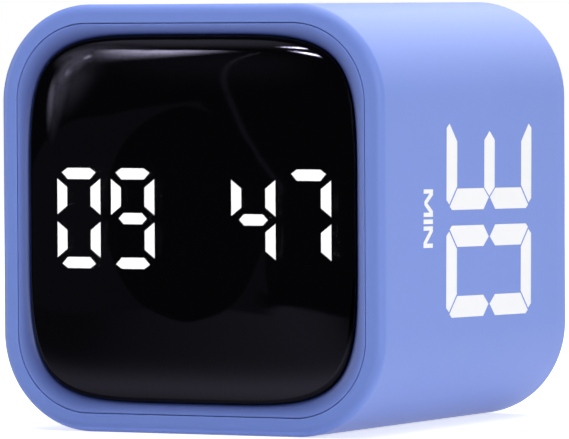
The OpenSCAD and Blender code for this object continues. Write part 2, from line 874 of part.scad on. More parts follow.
module board_passives() {
    color("#8a7a60") for (i = [0:passive_count - 1])
        facing_front([passive_x + passive_pitch * i, passive_up], main_front)
            block(passive_size);
}

module board_screws() {
    color("#b0b4b8") for (p = board_screw)
        facing_front(p, main_front) screw(cover_inner - main_front - screw_end);
}

// Charging socket

module socket_shell() {
    color("#c4c8cc") slab(main_back, main_back + socket_h) translate([port_x, port_up]) difference() {
        stadium(socket);
        stadium(socket - 2 * [socket_wall, socket_wall]);
    }
}

module socket_tongue() {
    inside = socket - 2 * [socket_wall + fit, socket_wall + fit];
    color("#1c1c20") translate([port_x, 0, port_up]) {
        slab(main_back, main_back + socket_floor) stadium(inside);
        slab(main_back, main_back + socket_h - tongue_sink)
            square([inside.x - 2 * tongue_in, tongue_t], center = true);
    }
}

// Sound switch

module sound_switch() {
    well = [lever_w + 2 * (knob_travel + knob_gap), lever_w + 2 * knob_gap, lever_well + past];
    color("#b8bcc0") facing_back([-port_x, port_up], main_back) difference() {
        block([switch_l, switch_w, switch_h]);
        translate([0, 0, switch_h - lever_well]) block(well);
    }
}

module sound_lever() {
    color("#202024") slab(switch_top - lever_in, lever_top) translate([-port_x, port_up])
        square(lever_w, center = true);
}

module sound_knob() {
    color("#4a5a9c") translate([-port_x, 0, port_up]) difference() {
        union() {
            slab(key_front, key_front + key_flange_t)
                rounded(knob_flange_half.x, knob_flange_half.y, knob_corner);
            slab(key_front, key_back) rounded(knob_l / 2, knob_h / 2, knob_corner);
        }
        slab(key_front - past, lever_top) square(lever_w, center = true);
        slab(key_back - grip_d, key_back + past) for (s = [-1, 0, 1])
            translate([s * grip_pitch, 0]) square([grip_w, knob_h + past], center = true);
    }
}

// Keys

module key_switches() {
    color("#30303a") for (x = key_x) facing_back([x, key_up], main_back) difference() {
        union() {
            block([key_switch_w, key_switch_w, switch_h]);
            for (turn = [0, 180], s = [-1, 1]) rotate(turn)
                translate([key_switch_w / 2, s * key_leg_pitch / 2, 0]) leg(key_leg_w);
        }
        translate([0, 0, switch_h - plunger_well])
            cylinder(r = plunger_r + 2 * fit, h = plunger_well + past);
    }
}

module key_plunger(x) {
    color("#d8d4cc") slab(switch_top - plunger_in, key_front) translate([x, key_up]) circle(plunger_r);
}

// A key: a dished cap with a flange that keeps it behind the cover
module key_cap(x) {
    height = key_back - key_front;
    color("#4a5a9c") facing_back([x, key_up], key_front) difference() {
        rotate_extrude() {
            square([key_r + key_flange, key_flange_t]);
            square([key_r, height - key_edge_r]);
            square([key_r - key_edge_r, height]);
            translate([key_r - key_edge_r, height - key_edge_r]) circle(key_edge_r);
        }
        translate([0, 0, height + key_dish_r - key_dish]) sphere(key_dish_r);
    }
}

module minute_key() { key_cap(key_x[0]); }
module second_key() { key_cap(key_x[1]); }
module start_key() { key_cap(key_x[2]); }
module minute_plunger() { key_plunger(key_x[0]); }
module second_plunger() { key_plunger(key_x[1]); }
module start_plunger() { key_plunger(key_x[2]); }

// Speaker

module speaker_gasket() {
    color("#18181a") slab(cover_inner - gasket_t, cover_inner) translate([0, speaker_up]) difference() {
        circle(speaker_r);
        circle(cone_r + 4 * fit);
    }
}

// The frame is a cup with a rim, open at the front and pierced for the magnet's pole
module speaker_frame() {
    cup_r = speaker_r - cup_in;
    color("#b4b8bc") facing_back([0, speaker_up], speaker_front) rotate_extrude() difference() {
        union() {
            translate([0, speaker_t - rim_t]) square([speaker_r, rim_t]);
            square([cup_r, speaker_t - rim_t / 2]);
        }
        translate([-past, cup_floor]) square([cup_r - cup_wall + past, speaker_t]);
        translate([-past, cone_seat]) square([cone_r + fit + past, speaker_t]);
        translate([-past, -past]) square([pole_r + past, speaker_t]);
    }
}

// The cone and its roll, one skin from rim to dust cap
module speaker_cone() {
    inner = cone_r - 2 * cone_roll;
    flat = cone_seat - cone_fall;
    color("#2a2a2c") facing_back([0, speaker_up], speaker_front) rotate_extrude() {
        translate([cone_r - cone_roll, cone_seat]) intersection() {
            difference() {
                circle(cone_roll);
                circle(cone_roll - cone_t);
            }
            translate([-cone_roll, 0]) square([2 * cone_roll, cone_roll]);
        }
        polygon([[0, flat], [cone_flat_r, flat], [inner + cone_t, cone_seat],
                 [inner + cone_t, cone_seat + cone_t], [inner, cone_seat + cone_t],
                 [cone_flat_r - cone_t / 2, flat + cone_t], [0, flat + cone_t]]);
    }
}

module speaker_magnet() {
    color("#70747a") facing_back([0, speaker_up], speaker_front) {
        translate([0, 0, -magnet_t]) cylinder(r = magnet_r, h = magnet_t);
        cylinder(r = pole_r - fit, h = pole_t);
    }
}

module speaker_leads() {
    tab_up = speaker_up - speaker_r + speaker_lead_in;
    pad_up = main_top - speaker_pad_in;
    for (s = [-1, 1]) color(s > 0 ? "#c02020" : "#202020") {
        x = s * speaker_lead_pitch / 2;
        lead([from_front(x, speaker_front, tab_up), from_front(x, speaker_front - speaker_lead_out, tab_up),
              from_front(x, main_front - speaker_lead_drop, pad_up), from_front(x, main_front, pad_up)],
             [1, 0, 0]);
    }
}

// Rear cover

module sound_holes() {
    translate([0, speaker_up]) {
        circle(sound_hole_r);
        for (row = [1, 2], i = [0:6 * row - 1])
            rotate(60 * i / row) translate([row * sound_pitch, 0]) circle(sound_hole_r);
    }
}

module cover_profile() {
    translate([-thin_wall, cover_seat]) square([thin_wall, cover_d - cover_edge_r]);
    translate([-thin_wall, cover_seat]) square([thin_wall - cover_edge_r, cover_d]);
    translate([-cover_edge_r, case_d - cover_edge_r]) circle(cover_edge_r);
}

// All that opens through the cover's face
module cover_openings() {
    for (x = key_x) translate([x, key_up]) circle(key_r + key_gap);
    translate([-port_x, port_up])
        rounded(knob_l / 2 + knob_travel + knob_gap, knob_h / 2 + knob_gap, knob_corner);
    translate([port_x, port_up]) stadium(socket + 2 * [socket_mouth_gap, socket_mouth_gap]);
    sound_holes();
}

module rear_cover() {
    inside_half = plug_half - thin_wall / 2;
    inside_corner = plug_corner - thin_wall / 2;
    color("#8298dc") difference() {
        union() {
            ring(plug_half, plug_corner) cover_profile();
            slab(cover_inner, case_d) rounded(inside_half, inside_half, inside_corner);
            slab(cover_seat, cover_inner + past) corner_columns(column_r, inside_half, inside_corner);
            slab(main_back, cover_inner + past) for (p = board_screw) translate(p) circle(post_r);
            slab(cover_inner - speaker_collar, cover_inner + past) translate([0, speaker_up]) difference() {
                circle(speaker_r + thin_wall);
                circle(speaker_r + 2 * fit);
            }
        }
        slab(cover_seat - past, case_d + past)
            four_corners([column_place, column_place]) circle(screw_r + 2 * fit);
        slab(cover_seat + cover_shelf, case_d + past)
            four_corners([column_place, column_place]) circle(screw_head_r + 2 * fit);
        slab(main_back - past, cover_inner) for (p = board_screw) translate(p) circle(screw_r + fit);
        slab(cover_inner - past, case_d + past) cover_openings();
    }
}

module cover_screws() {
    color("#9a9ea4") four_screws([column_place, column_place], cover_seat + cover_shelf, cover_screw_l);
}

case_sleeve();
front_bezel();
display_lens();
lens_tape();
segment_reflector();
lit_segments();
unlit_segments();
display_board();
segment_leds();
display_driver();
display_header();
battery_tray();
battery_tape();
battery_cell();
cell_protection_board();
tray_screws();
battery_leads();
battery_connector();
flat_cable();
main_header();
main_board();
microcontroller();
charge_controller();
tilt_sensor();
board_passives();
board_screws();
socket_shell();
socket_tongue();
sound_switch();
sound_lever();
sound_knob();
key_switches();
minute_key();
minute_plunger();
second_key();
second_plunger();
start_key();
start_plunger();
speaker_gasket();
speaker_frame();
speaker_cone();
speaker_magnet();
speaker_leads();
rear_cover();
cover_screws();
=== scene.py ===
# %% [markdown]
# # A cube timer in Blender
# The timer is a soft blue plastic cube. A square sleeve runs from front to back, a dark domed lens
# hides a display of white figures, and each long side carries the number of minutes that it counts
# when the cube is turned onto it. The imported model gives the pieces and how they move. This lesson
# gives the ones that show a finer surface, then the finishes, the light and the camera.

import json
import math

import bpy
import numpy as np
from mathutils import Matrix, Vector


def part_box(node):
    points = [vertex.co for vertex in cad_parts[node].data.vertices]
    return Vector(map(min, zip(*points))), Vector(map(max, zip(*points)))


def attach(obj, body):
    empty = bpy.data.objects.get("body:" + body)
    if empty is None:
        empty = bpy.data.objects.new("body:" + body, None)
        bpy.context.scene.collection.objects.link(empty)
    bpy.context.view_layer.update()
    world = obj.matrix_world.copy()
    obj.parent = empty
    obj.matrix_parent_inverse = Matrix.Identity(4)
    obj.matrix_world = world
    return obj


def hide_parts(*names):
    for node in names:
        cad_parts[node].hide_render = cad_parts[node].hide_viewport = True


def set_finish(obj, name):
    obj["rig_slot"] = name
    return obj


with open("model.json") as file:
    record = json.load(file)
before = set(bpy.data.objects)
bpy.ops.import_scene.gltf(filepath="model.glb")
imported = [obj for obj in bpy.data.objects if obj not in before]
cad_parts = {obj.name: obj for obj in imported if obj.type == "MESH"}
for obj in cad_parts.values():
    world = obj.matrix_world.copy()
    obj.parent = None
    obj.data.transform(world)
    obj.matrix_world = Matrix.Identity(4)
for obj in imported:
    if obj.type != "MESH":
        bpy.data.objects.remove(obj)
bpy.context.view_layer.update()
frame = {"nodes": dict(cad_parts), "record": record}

# %% [markdown]
# ## Sizes
# Every place follows from the frame, so a piece fits where the model has it. The case's box gives the
# width and depth, and the boxes of the bezel and the lens give the widths of the lip and the ring.
# A box can't tell how round a corner is, so those few sizes are written here in millimetres.

# %% Read the sizes
MM = 0.001
case_low, case_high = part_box("case_sleeve")
CASE_HALF = (case_high.x - case_low.x) / 2
CASE_D = case_high.y - case_low.y
Y_FRONT = case_low.y
Z_MID = (case_low.z + case_high.z) / 2
bezel_low, bezel_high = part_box("front_bezel")
PLUG_HALF = (bezel_high.x - bezel_low.x) / 2
lens_low, lens_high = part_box("display_lens")
LENS_HALF = (lens_high.x - lens_low.x) / 2
LENS_BACK = lens_high.y - Y_FRONT

CORNER_R = 13.75 * MM
SEAM = 0.1 * MM
WALL = CASE_HALF - PLUG_HALF - SEAM
PLUG_CORNER = CORNER_R - WALL - SEAM
RIM_R = 1.25 * MM
EDGE_R = 0.12 * MM
print(f"wall {WALL / MM:.2f} mm, lens {2 * LENS_HALF / MM:.1f} mm wide")

# %% [markdown]
# ## Shells
# A mesh is a list of points and of faces that name them. Most pieces here are rows of points that
# close into rings, and numpy works out all the rows at once. A closed shell has a volume, and its sign
# tells whether the faces look outwards, so a shell that came out inside out is simply turned.

# %% Make shells from rings of points
def in_place(x, up, depth):
    """Points by their distance right of and above the middle of the front, and behind it."""
    x, up, depth = np.broadcast_arrays(x, up, depth)
    return np.stack([x, Y_FRONT + depth, Z_MID + up], axis=-1)


def quads_between(rows, columns, looped):
    """Four-sided faces between neighbouring rows of a grid whose columns close on themselves.

    Point (r, c) has the number r * columns + c. If looped, the last row joins the first one too."""
    r = np.arange(rows if looped else rows - 1)[:, None]
    c = np.arange(columns)[None, :]
    here, after = r * columns, (r + 1) % rows * columns
    right = (c + 1) % columns
    corners = [here + c, here + right, after + right, after + c]
    return np.stack(corners, axis=-1).reshape(-1, 4).tolist()


def volume_of(points, faces):
    """Sum of the signed volumes of the cones from the origin to each face's fan of triangles."""
    fans = [(f[0], f[k], f[k + 1]) for f in faces for k in range(1, len(f) - 1)]
    a, b, c = points[np.array(fans)].transpose(1, 0, 2)
    return float(np.einsum("ij,ij->", a, np.cross(b, c))) / 6


def closed_shell(points, faces):
    """The shell with its faces outwards."""
    if volume_of(points, faces) < 0:
        faces = [face[::-1] for face in faces]
    return points, faces


def ring_shell(rings, start=None, end=None):
    """A shell of rings in order: looped into a torus, or closed at each end by a point or a flat face."""
    rows, columns, _ = rings.shape
    points = rings.reshape(-1, 3)
    looped = start is None and end is None
    faces = quads_between(rows, columns, looped)
    turn = np.arange(columns)
    for tip, first in ((start, 0), (end, (rows - 1) * columns)):
        if tip is None:
            continue
        if isinstance(tip, str):
            faces.append((first + turn)[:: 1 if first else -1].tolist())
            continue
        fan = np.stack([first + turn, np.full(columns, len(points)), first + np.roll(turn, -1)], axis=-1)
        faces += (fan[:, ::-1] if first else fan).tolist()
        points = np.vstack([points, tip])
    return closed_shell(points, faces)


print("faces between three looped rows of four points:", len(quads_between(3, 4, True)))

# %% [markdown]
# A piece may hold several shells, such as a tube with its columns. They become one mesh that is shaded smooth
# except across sharp edges, and the piece rides on a body of the frame, so that it moves with it.

# %% Put shells into a piece
def make_piece(name, shells, body, crease=35):
    """Puts shells into one object that rides on a body. Edges sharper than the crease angle stay sharp."""
    points, faces, count = [], [], 0
    for shell_points, shell_faces in shells:
        points.append(shell_points)
        faces += [[count + i for i in face] for face in shell_faces]
        count += len(shell_points)
    mesh = bpy.data.meshes.new(name)
    mesh.from_pydata(np.vstack(points).tolist(), [], faces)
    mesh.polygons.foreach_set("use_smooth", np.ones(len(faces), bool))
    mesh.set_sharp_from_angle(angle=math.radians(crease))
    piece = bpy.data.objects.new(name, mesh)
    bpy.context.scene.collection.objects.link(piece)
    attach(piece, body)
    volume = sum(volume_of(*shell) for shell in shells)
    print(f"{name}: {len(faces)} faces, {volume / MM ** 3:.1f} mm3")
    return piece


# %% [markdown]
# ## Camera
# The photograph was taken with a long lens from a little to the right and a little above. Its place was
# found by fitting the case's outline to the picture: two angles, a small roll and a distance. A long
# lens keeps the far edges nearly as large as the near ones.

# %% Place the camera
AZIMUTH = 27.1153
ELEVATION = 1.8831
ROLL = math.radians(-0.3229)
DISTANCE = 942.16 * MM
AIM_RIGHT = -0.557 * MM
AIM_UP = -0.9602 * MM
FOCAL_PX = 6575.2
IMAGE_W = 569
SENSOR_MM = 36


def way_to(azimuth, elevation):
    """Directions at two angles in degrees, to the right of straight ahead of the front and up from level:
    (sin a * cos e, -cos a * cos e, sin e)."""
    a, e = np.broadcast_arrays(np.radians(azimuth), np.radians(elevation))
    return np.stack([np.sin(a) * np.cos(e), -np.cos(a) * np.cos(e), np.sin(e)], axis=-1)


def stood(side, rise, back, spot):
    """The matrix of an object that stands at a spot, with its three axes along these directions."""
    pose = np.eye(4)
    pose[:3] = np.column_stack([side, rise, back, spot])
    return Matrix(pose.tolist())


right = way_to(AZIMUTH + 90, 0)
back = way_to(AZIMUTH, ELEVATION)
up = np.cross(back, right)
middle = np.array([0, Y_FRONT + CASE_D / 2, Z_MID])
eye = middle + AIM_RIGHT * right + AIM_UP * up + DISTANCE * back
turned_right = math.cos(ROLL) * right + math.sin(ROLL) * up
turned_up = math.cos(ROLL) * up - math.sin(ROLL) * right

camera_data = bpy.data.cameras.new("camera")
camera_data.sensor_width = SENSOR_MM
camera_data.lens = FOCAL_PX / IMAGE_W * SENSOR_MM
camera = bpy.data.objects.new("camera", camera_data)
camera.matrix_world = stood(turned_right, turned_up, back, eye)
bpy.context.scene.collection.objects.link(camera)
bpy.context.scene.camera = camera
print(f"camera {camera_data.lens:.0f} mm, at {eye.round(3).tolist()}")

# %% [markdown]
# ## Sleeve
# The sleeve is moulded as one square tube with big round corners, and its rims are rounded. It is made as
# a profile carried round a path: the profile is the wall cut through, with its rim, its lip and the ledge
# that stops the bezel, and the path is a square with round corners. Extra points just beside each
# rounding hold the flat faces flat when the shading is smoothed.

# %% Round off a profile and carry it round the case
HOLD = 0.1 * MM


def rounded_profile(corners, steps=7):
    """A closed outline whose corners (x, y, radius) are arcs. An arc of radius r that meets two edges at
    the angle w starts r / tan(w / 2) from the corner, and its centre lies r / sin(w / 2) along the
    bisector. One point on each side of an arc holds the flat beside it."""
    spots = np.array([corner[:2] for corner in corners], float)
    pieces = []
    for i, (_, _, r) in enumerate(corners):
        here = spots[i]
        if r == 0:
            pieces.append(here[None])
            continue
        ways = np.array([spots[i - 1] - here, spots[(i + 1) % len(spots)] - here])
        ways /= np.linalg.norm(ways, axis=1, keepdims=True)
        half = math.acos(np.clip(ways[0] @ ways[1], -1, 1)) / 2
        reach = r / math.tan(half)
        centre = here + (ways[0] + ways[1]) / np.linalg.norm(ways[0] + ways[1]) * r / math.sin(half)
        ends = here + ways * reach - centre
        sweep = math.pi - 2 * half
        t = np.linspace(0, 1, steps)[:, None]
        arc = (np.sin((1 - t) * sweep) * ends[0] + np.sin(t * sweep) * ends[1]) / math.sin(sweep)
        held = here + ways * (reach + HOLD)
        pieces.append(np.vstack([held[:1], centre + arc, held[1:]]))
    return np.vstack(pieces)


def square_path(half, r, per_side=10, per_corner=32):
    """Points and outward ways along a square with round corners: on each corner the way turns a quarter
    and the point is the corner's centre plus r times the way; along each side only the point moves."""
    turn = np.linspace(0, math.pi / 2, per_corner)
    corner = np.stack([np.cos(turn), np.sin(turn)], axis=-1)
    side = np.linspace(half - r, r - half, per_side + 2)[1:-1]
    spots = np.vstack([half - r + r * corner, np.stack([side, np.full(per_side, half)], axis=-1)])
    ways = np.vstack([corner, np.tile([0.0, 1.0], (per_side, 1))])
    quarter = np.array([[0, 1], [-1, 0]])
    spins = [np.linalg.matrix_power(quarter, k) for k in range(4)]
    return np.vstack([spots @ s for s in spins]), np.vstack([ways @ s for s in spins])


def carried_round(profile, half, r):
    """Rings of a profile (out from the square, depth) carried round the square with round corners."""
    spots, ways = square_path(half, r)
    flat = spots[None] + profile[:, None, :1] * ways[None]
    return in_place(flat[..., 0], flat[..., 1], profile[:, None, 1])


LEDGE_H = 1.2 * MM
LEDGE_FRONT = 8 * MM
LEDGE_BACK = 10 * MM
sleeve_profile = rounded_profile([
    (0, 0, RIM_R), (-WALL, 0, EDGE_R), (-WALL, LEDGE_FRONT, 0), (-WALL - LEDGE_H, LEDGE_FRONT, 0),
    (-WALL - LEDGE_H, LEDGE_BACK, 0), (-WALL, LEDGE_BACK, 0), (-WALL, CASE_D, EDGE_R), (0, CASE_D, RIM_R)])
print(f"sleeve profile: {len(sleeve_profile)} points")

# %% [markdown]
# Four screw columns stand in the sleeve's corners. Seen along the case, a column is a circle that widens
# into two webs and runs into the walls, so its outline is a reach for every angle round its own middle.

# %% Make the sleeve with its screw columns
TINY = 1e-12


def reach_of_box(angle, half_x, half_y, r):
    """Distance from the middle of a rectangle with round corners to its edge: to a side, half / cosine;
    at a corner with its centre at c, m + sqrt(m * m - c * c + r * r), where m is c along the way."""
    c, s = np.abs(np.cos(angle)) + TINY, np.abs(np.sin(angle)) + TINY
    cx, cy = half_x - r, half_y - r
    along = cx * c + cy * s
    corner = along + np.sqrt(np.maximum(along ** 2 - cx ** 2 - cy ** 2 + r ** 2, 0))
    reach = np.where(half_x * s / c <= cy, half_x / c, corner)
    return np.where(half_y * c / s <= cx, half_y / s, reach)


def full_turn(count):
    """Angles of so many points, evenly once round."""
    return np.linspace(0, 2 * math.pi, count, endpoint=False)


def circle_ring(x, z, r, depth, angle):
    """A ring of radius r round a place on the front, at a depth. r may be a reach for each angle."""
    return in_place(x + r * np.cos(angle), z + r * np.sin(angle), depth)


COLUMN_R = 3.4 * MM
COLUMN_IN = 6.2 * MM
WALL_R = CORNER_R - WALL
COLUMN_ENDS = (40 * MM, 55 * MM)
SCREW_HOLE_R = 1.05 * MM
HOLE_FLOOR = 41.2 * MM
ROOT = 0.6 * MM
COLUMN_POINTS = 72
CORNERS = [(sx, sz) for sx in (-1, 1) for sz in (-1, 1)]


def bored_shell(x, z, reach, floor, ends, angle):
    """A pillar with a screw hole: rings from the hole's floor up its wall, over the rim and down outside."""
    steps = [(SCREW_HOLE_R, floor), (SCREW_HOLE_R, ends[1]), (reach, ends[1]), (reach, ends[0])]
    rings = np.stack([circle_ring(x, z, r, depth, angle) for r, depth in steps])
    return ring_shell(rings, in_place(x, z, floor), in_place(x, z, ends[0]))


def column_shell(sx, sz):
    """A screw column: a circle on the inner quarter, a web radius / sine wide beside it, and towards the
    corner the reach of the wall, which the column enters a little."""
    angle = full_turn(COLUMN_POINTS) + math.pi / COLUMN_POINTS
    place = CASE_HALF - WALL - COLUMN_IN
    c, s = np.cos(angle), np.sin(angle)
    outer = WALL_R + ROOT
    to_centre = COLUMN_IN - WALL_R
    along = to_centre * (c + s)
    corner_reach = along + np.sqrt(np.maximum(along ** 2 - 2 * to_centre ** 2 + outer ** 2, 0))
    wall = (COLUMN_IN + ROOT) / np.maximum(np.maximum(c, s), TINY)
    wall = np.where((c > 0) & (s > 0), np.minimum(wall, corner_reach), wall)
    web = COLUMN_R / np.maximum(-np.minimum(c, s), TINY)
    reach = np.where((c < 0) & (s < 0), COLUMN_R, np.minimum(wall, web))
    turned = np.arctan2(sz * s, sx * c)
    return bored_shell(sx * place, sz * place, reach, HOLE_FLOOR, COLUMN_ENDS, turned)


tube = ring_shell(carried_round(sleeve_profile, CASE_HALF, CORNER_R))
sleeve = make_piece("sleeve", [tube, *(column_shell(sx, sz) for sx, sz in CORNERS)], "case")
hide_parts("case_sleeve")
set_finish(sleeve, "case_plastic")

# %% [markdown]
# ## Bezel
# Inside the sleeve's lip a narrow ring rolls back towards the lens. Its outer edge is the square with
# round corners, and its inner edge is the lens's softer outline, so the ring is wider at the corners.
# It is lofted: for each angle round the middle, the ring runs from one reach to the other along an arc.

# %% Loft the ring from the seam to the lens
LENS_POWER = 4.9
LENS_GAP = 0.08 * MM
RING_DROP = 1.0 * MM
RING_SINK = 0.05 * MM
ROLL_SINE = 0.97
ROLL_FROM, ROLL_ROWS = 0.1, 22
EDGE_ROWS = 5
LENS_SEAT = 2.1 * MM
PLATE_BACK = 3.6 * MM
THIN_WALL = 1.2 * MM
WINDOW_CORNER = 1.1 * MM
WINDOW_GAP = 0.1 * MM
ROUND = full_turn(384)


def lens_reach(half):
    """Reach of the lens outline, |x|^n + |y|^n = half^n, at each angle: half / (|cos|^n + |sin|^n)^(1/n)."""
    c, s = np.abs(np.cos(ROUND)), np.abs(np.sin(ROUND))
    return half / (c ** LENS_POWER + s ** LENS_POWER) ** (1 / LENS_POWER)


def reach_ring(reach, depth):
    """A ring at one depth from a reach at each angle."""
    return circle_ring(0, 0, reach, depth, ROUND)


seam_reach = reach_of_box(ROUND, PLUG_HALF, PLUG_HALF, PLUG_CORNER)
hole_reach = lens_reach(LENS_HALF + LENS_GAP)
share = np.sin(np.linspace(ROLL_FROM, math.pi / 2, ROLL_ROWS))
fall = (1 - np.sqrt(1 - (share * ROLL_SINE) ** 2)) / (1 - math.sqrt(1 - ROLL_SINE ** 2))
roll_rings = [reach_ring((1 - s) * seam_reach + s * hole_reach, RING_SINK + (RING_DROP - RING_SINK) * f)
              for s, f in zip(share, fall)]
edge_rings = [reach_ring(seam_reach - EDGE_R * (1 - math.cos(a)), RING_SINK + EDGE_R * (1 - math.sin(a)))
              for a in np.linspace(0, math.pi / 2, EDGE_ROWS)]

mask_low, mask_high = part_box("segment_reflector")
window_reach = reach_of_box(ROUND, (mask_high.x - mask_low.x) / 2 + WINDOW_GAP,
                            (mask_high.z - mask_low.z) / 2 + WINDOW_GAP, WINDOW_CORNER)
inner_reach = reach_of_box(ROUND, PLUG_HALF - THIN_WALL, PLUG_HALF - THIN_WALL, PLUG_CORNER - THIN_WALL)
bezel_rings = np.stack([
    reach_ring(inner_reach, LEDGE_FRONT), reach_ring(seam_reach, LEDGE_FRONT),
    reach_ring(seam_reach, RING_SINK + EDGE_R + HOLD), *edge_rings, *roll_rings,
    reach_ring(hole_reach, LENS_SEAT), reach_ring(window_reach, LENS_SEAT),
    reach_ring(window_reach, PLATE_BACK), reach_ring(inner_reach, PLATE_BACK)])
print(f"bezel loft: {bezel_rings.shape[0]} rings of {bezel_rings.shape[1]} points")

# %% [markdown]
# Behind the plate the bezel carries four posts for the display board's screws, and two snap hooks on each
# side that catch behind the sleeve's ledge. A post is a round pillar with a screw hole, as a column is, and
# a hook is a flat outline given a width.

# %% Add the posts and hooks
POST_R = 2.2 * MM
POST_ENDS = (2.85 * MM, 7.9 * MM)
POST_POINTS = 48
HOOK_W = 6 * MM
HOOK_PLACE = 9 * MM
HOOK_GAP = 0.15 * MM
HOOK_LIP = 0.8 * MM
CATCH_GAP = 0.05 * MM


def hook_shell(turn, side):
    """A snap hook: its outline (out, depth) at both ends of its width, turned to its side of the case."""
    face = CASE_HALF - WALL - LEDGE_H - HOOK_GAP
    root, catch = POST_ENDS[0], LEDGE_BACK + CATCH_GAP
    tip = catch + 2 * HOOK_LIP
    outline = np.array([(face - THIN_WALL, root), (face, root), (face, catch), (face + HOOK_LIP, catch),
                        (face, tip), (face - THIN_WALL, tip)])
    along = side * HOOK_PLACE + np.array([[-HOOK_W / 2], [HOOK_W / 2]])
    out, depth = outline[None, :, 0], outline[None, :, 1]
    c, s = round(math.cos(turn)), round(math.sin(turn))
    return ring_shell(in_place(c * out - s * along, s * out + c * along, depth), "flat", "flat")


SCREW_HEAD_R = 1.9 * MM
screws_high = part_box("tray_screws")[1]
post_x = screws_high.x - SCREW_HEAD_R
post_z = screws_high.z - SCREW_HEAD_R - Z_MID
posts = [bored_shell(sx * post_x, sz * post_z, POST_R, PLATE_BACK, POST_ENDS, full_turn(POST_POINTS))
         for sx, sz in CORNERS]
hooks = [hook_shell(k * math.pi / 2, side) for k in range(4) for side in (-1, 1)]
bezel = make_piece("bezel", [ring_shell(bezel_rings), *posts, *hooks], "case")

# Share of painted shade on the ring: 0 outside, growing along the roll, and 1 from the lens's hole to the
# window.
shade_share = np.zeros(len(bezel.data.vertices))
ring_shade_share = np.concatenate([np.zeros(3 + len(edge_rings)), share, np.ones(3)])
shade_share[:ring_shade_share.size * ROUND.size] = np.repeat(ring_shade_share, ROUND.size)
bezel.data.attributes.new("shade_share", "FLOAT", "POINT").data.foreach_set("value", shade_share)
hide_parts("front_bezel")
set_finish(bezel, "bezel_plastic")

# %% [markdown]
# ## Lens
# The lens is one polished, smoked plastic window. Its face is nearly flat in the middle and falls away
# faster and faster towards the rim, which is what bends reflections into streaks along its edge. It is a
# function of two parameters: the angle round the middle and the share of the way to the rim.

# %% Shape the lens
LENS_EDGE_R = 0.65 * MM
FACE_ROWS, FACE_POWER = 40, 1.8
RIM_ROWS = 14
edge_share = 1 - LENS_EDGE_R / LENS_HALF


def lens_fall(share):
    """Depth of the lens's face: half of its drop goes with the square of the share and half with the tenth
    power. Near the rim a quarter circle is added, t along its radius: radius * (1 - sqrt(1 - t * t))."""
    t = np.clip((share - edge_share) / (1 - edge_share), 0, 1)
    face = (RING_DROP - LENS_EDGE_R) * (share ** 2 + share ** 10) / 2
    return face + LENS_EDGE_R * (1 - np.sqrt(1 - t ** 2))


face_shares = edge_share * (1 - (1 - np.linspace(0, 1, FACE_ROWS + 1)[1:]) ** FACE_POWER)
edge_shares = edge_share + (1 - edge_share) * np.sin(np.linspace(0, math.pi / 2, RIM_ROWS + 1)[1:])
lens_rows = [(LENS_HALF * s, lens_fall(s)) for s in np.concatenate([face_shares, edge_shares])]
lens_rows += [(LENS_HALF, LENS_BACK - HOLD), (LENS_HALF - HOLD, LENS_BACK), (LENS_HALF - 2 * HOLD, LENS_BACK)]
lens_rings = np.stack([reach_ring(lens_reach(half), depth) for half, depth in lens_rows])
lens_shell = ring_shell(lens_rings, in_place(0, 0, 0), in_place(0, 0, LENS_BACK))
lens = make_piece("lens", [lens_shell], "case", crease=50)
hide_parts("display_lens")
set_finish(lens, "smoked_lens")

# %% [markdown]
# The back of such a lens is printed black all round the figures, which hides the plate and the tape behind
# it, and the black is carried round its cut edge. The print is a thin sheet that runs from the window's
# outline to the lens's side and up it, in the gap between the lens and the ring.

# %% Print the back of the lens
PRINT_T = 0.03 * MM
side_in = lens_reach(LENS_HALF + LENS_GAP / 4)
side_out = lens_reach(LENS_HALF + LENS_GAP / 2)
back_of_print = LENS_BACK + PRINT_T
print_rows = [(window_reach, LENS_BACK), (side_in, LENS_BACK), (side_in, RING_DROP),
              (side_out, RING_DROP), (side_out, back_of_print), (window_reach, back_of_print)]
print_rings = np.stack([reach_ring(reach, depth) for reach, depth in print_rows])
lens_print = make_piece("lens_print", [ring_shell(print_rings)], "case")

# %% [markdown]
# ## Keys
# Three round keys sit in the rear cover. Each is a dished cap with a rounded edge and a flange that keeps
# it behind the cover. A key is turned, so its profile goes once round its axis.

# %% Turn the keys
KEY_FLANGE = 0.7 * MM
KEY_EDGE_R = 0.4 * MM
KEY_DISH = 0.35 * MM
KEY_POINTS, EDGE_STEPS, DISH_STEPS = 96, 8, 16


def key_shell(node):
    """A cap from its flange to its dish: the dish falls with the square of the way to the edge."""
    low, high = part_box(node)
    x, z = (low.x + high.x) / 2, (low.z + high.z) / 2 - Z_MID
    flange_r = (high.x - low.x) / 2
    cap_r = flange_r - KEY_FLANGE
    foot, top = low.y - Y_FRONT, high.y - Y_FRONT
    side = [(flange_r, foot), (flange_r, foot + KEY_FLANGE), (cap_r, foot + KEY_FLANGE)]
    edge = [(cap_r - KEY_EDGE_R * (1 - math.cos(a)), top - KEY_EDGE_R * (1 - math.sin(a)))
            for a in np.linspace(0, math.pi / 2, EDGE_STEPS)]
    rim = cap_r - KEY_EDGE_R
    dish = [(rim * s, top - KEY_DISH * (1 - s ** 2)) for s in np.linspace(1, 0, DISH_STEPS)[1:-1]]
    angle = full_turn(KEY_POINTS)
    rings = np.stack([circle_ring(x, z, r, depth, angle) for r, depth in side + edge + dish])
    return ring_shell(rings, in_place(x, z, foot), in_place(x, z, top - KEY_DISH))


keys = []
for node in ("minute_key", "second_key", "start_key"):
    key = make_piece(node + "_cap", [key_shell(node)], node + "_body", crease=30)
    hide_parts(node)
    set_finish(key, "key_plastic")
    keys.append(key)

# %% [markdown]
# ## Printed numbers
# Each long side is printed in white with the minutes that it counts. The figures are built from seven
# segments with pointed ends and hairline gaps, as the display's are, and a short word stands below them.
# Ink has almost no thickness, but a film of two hundredths of a millimetre catches the light as print does.

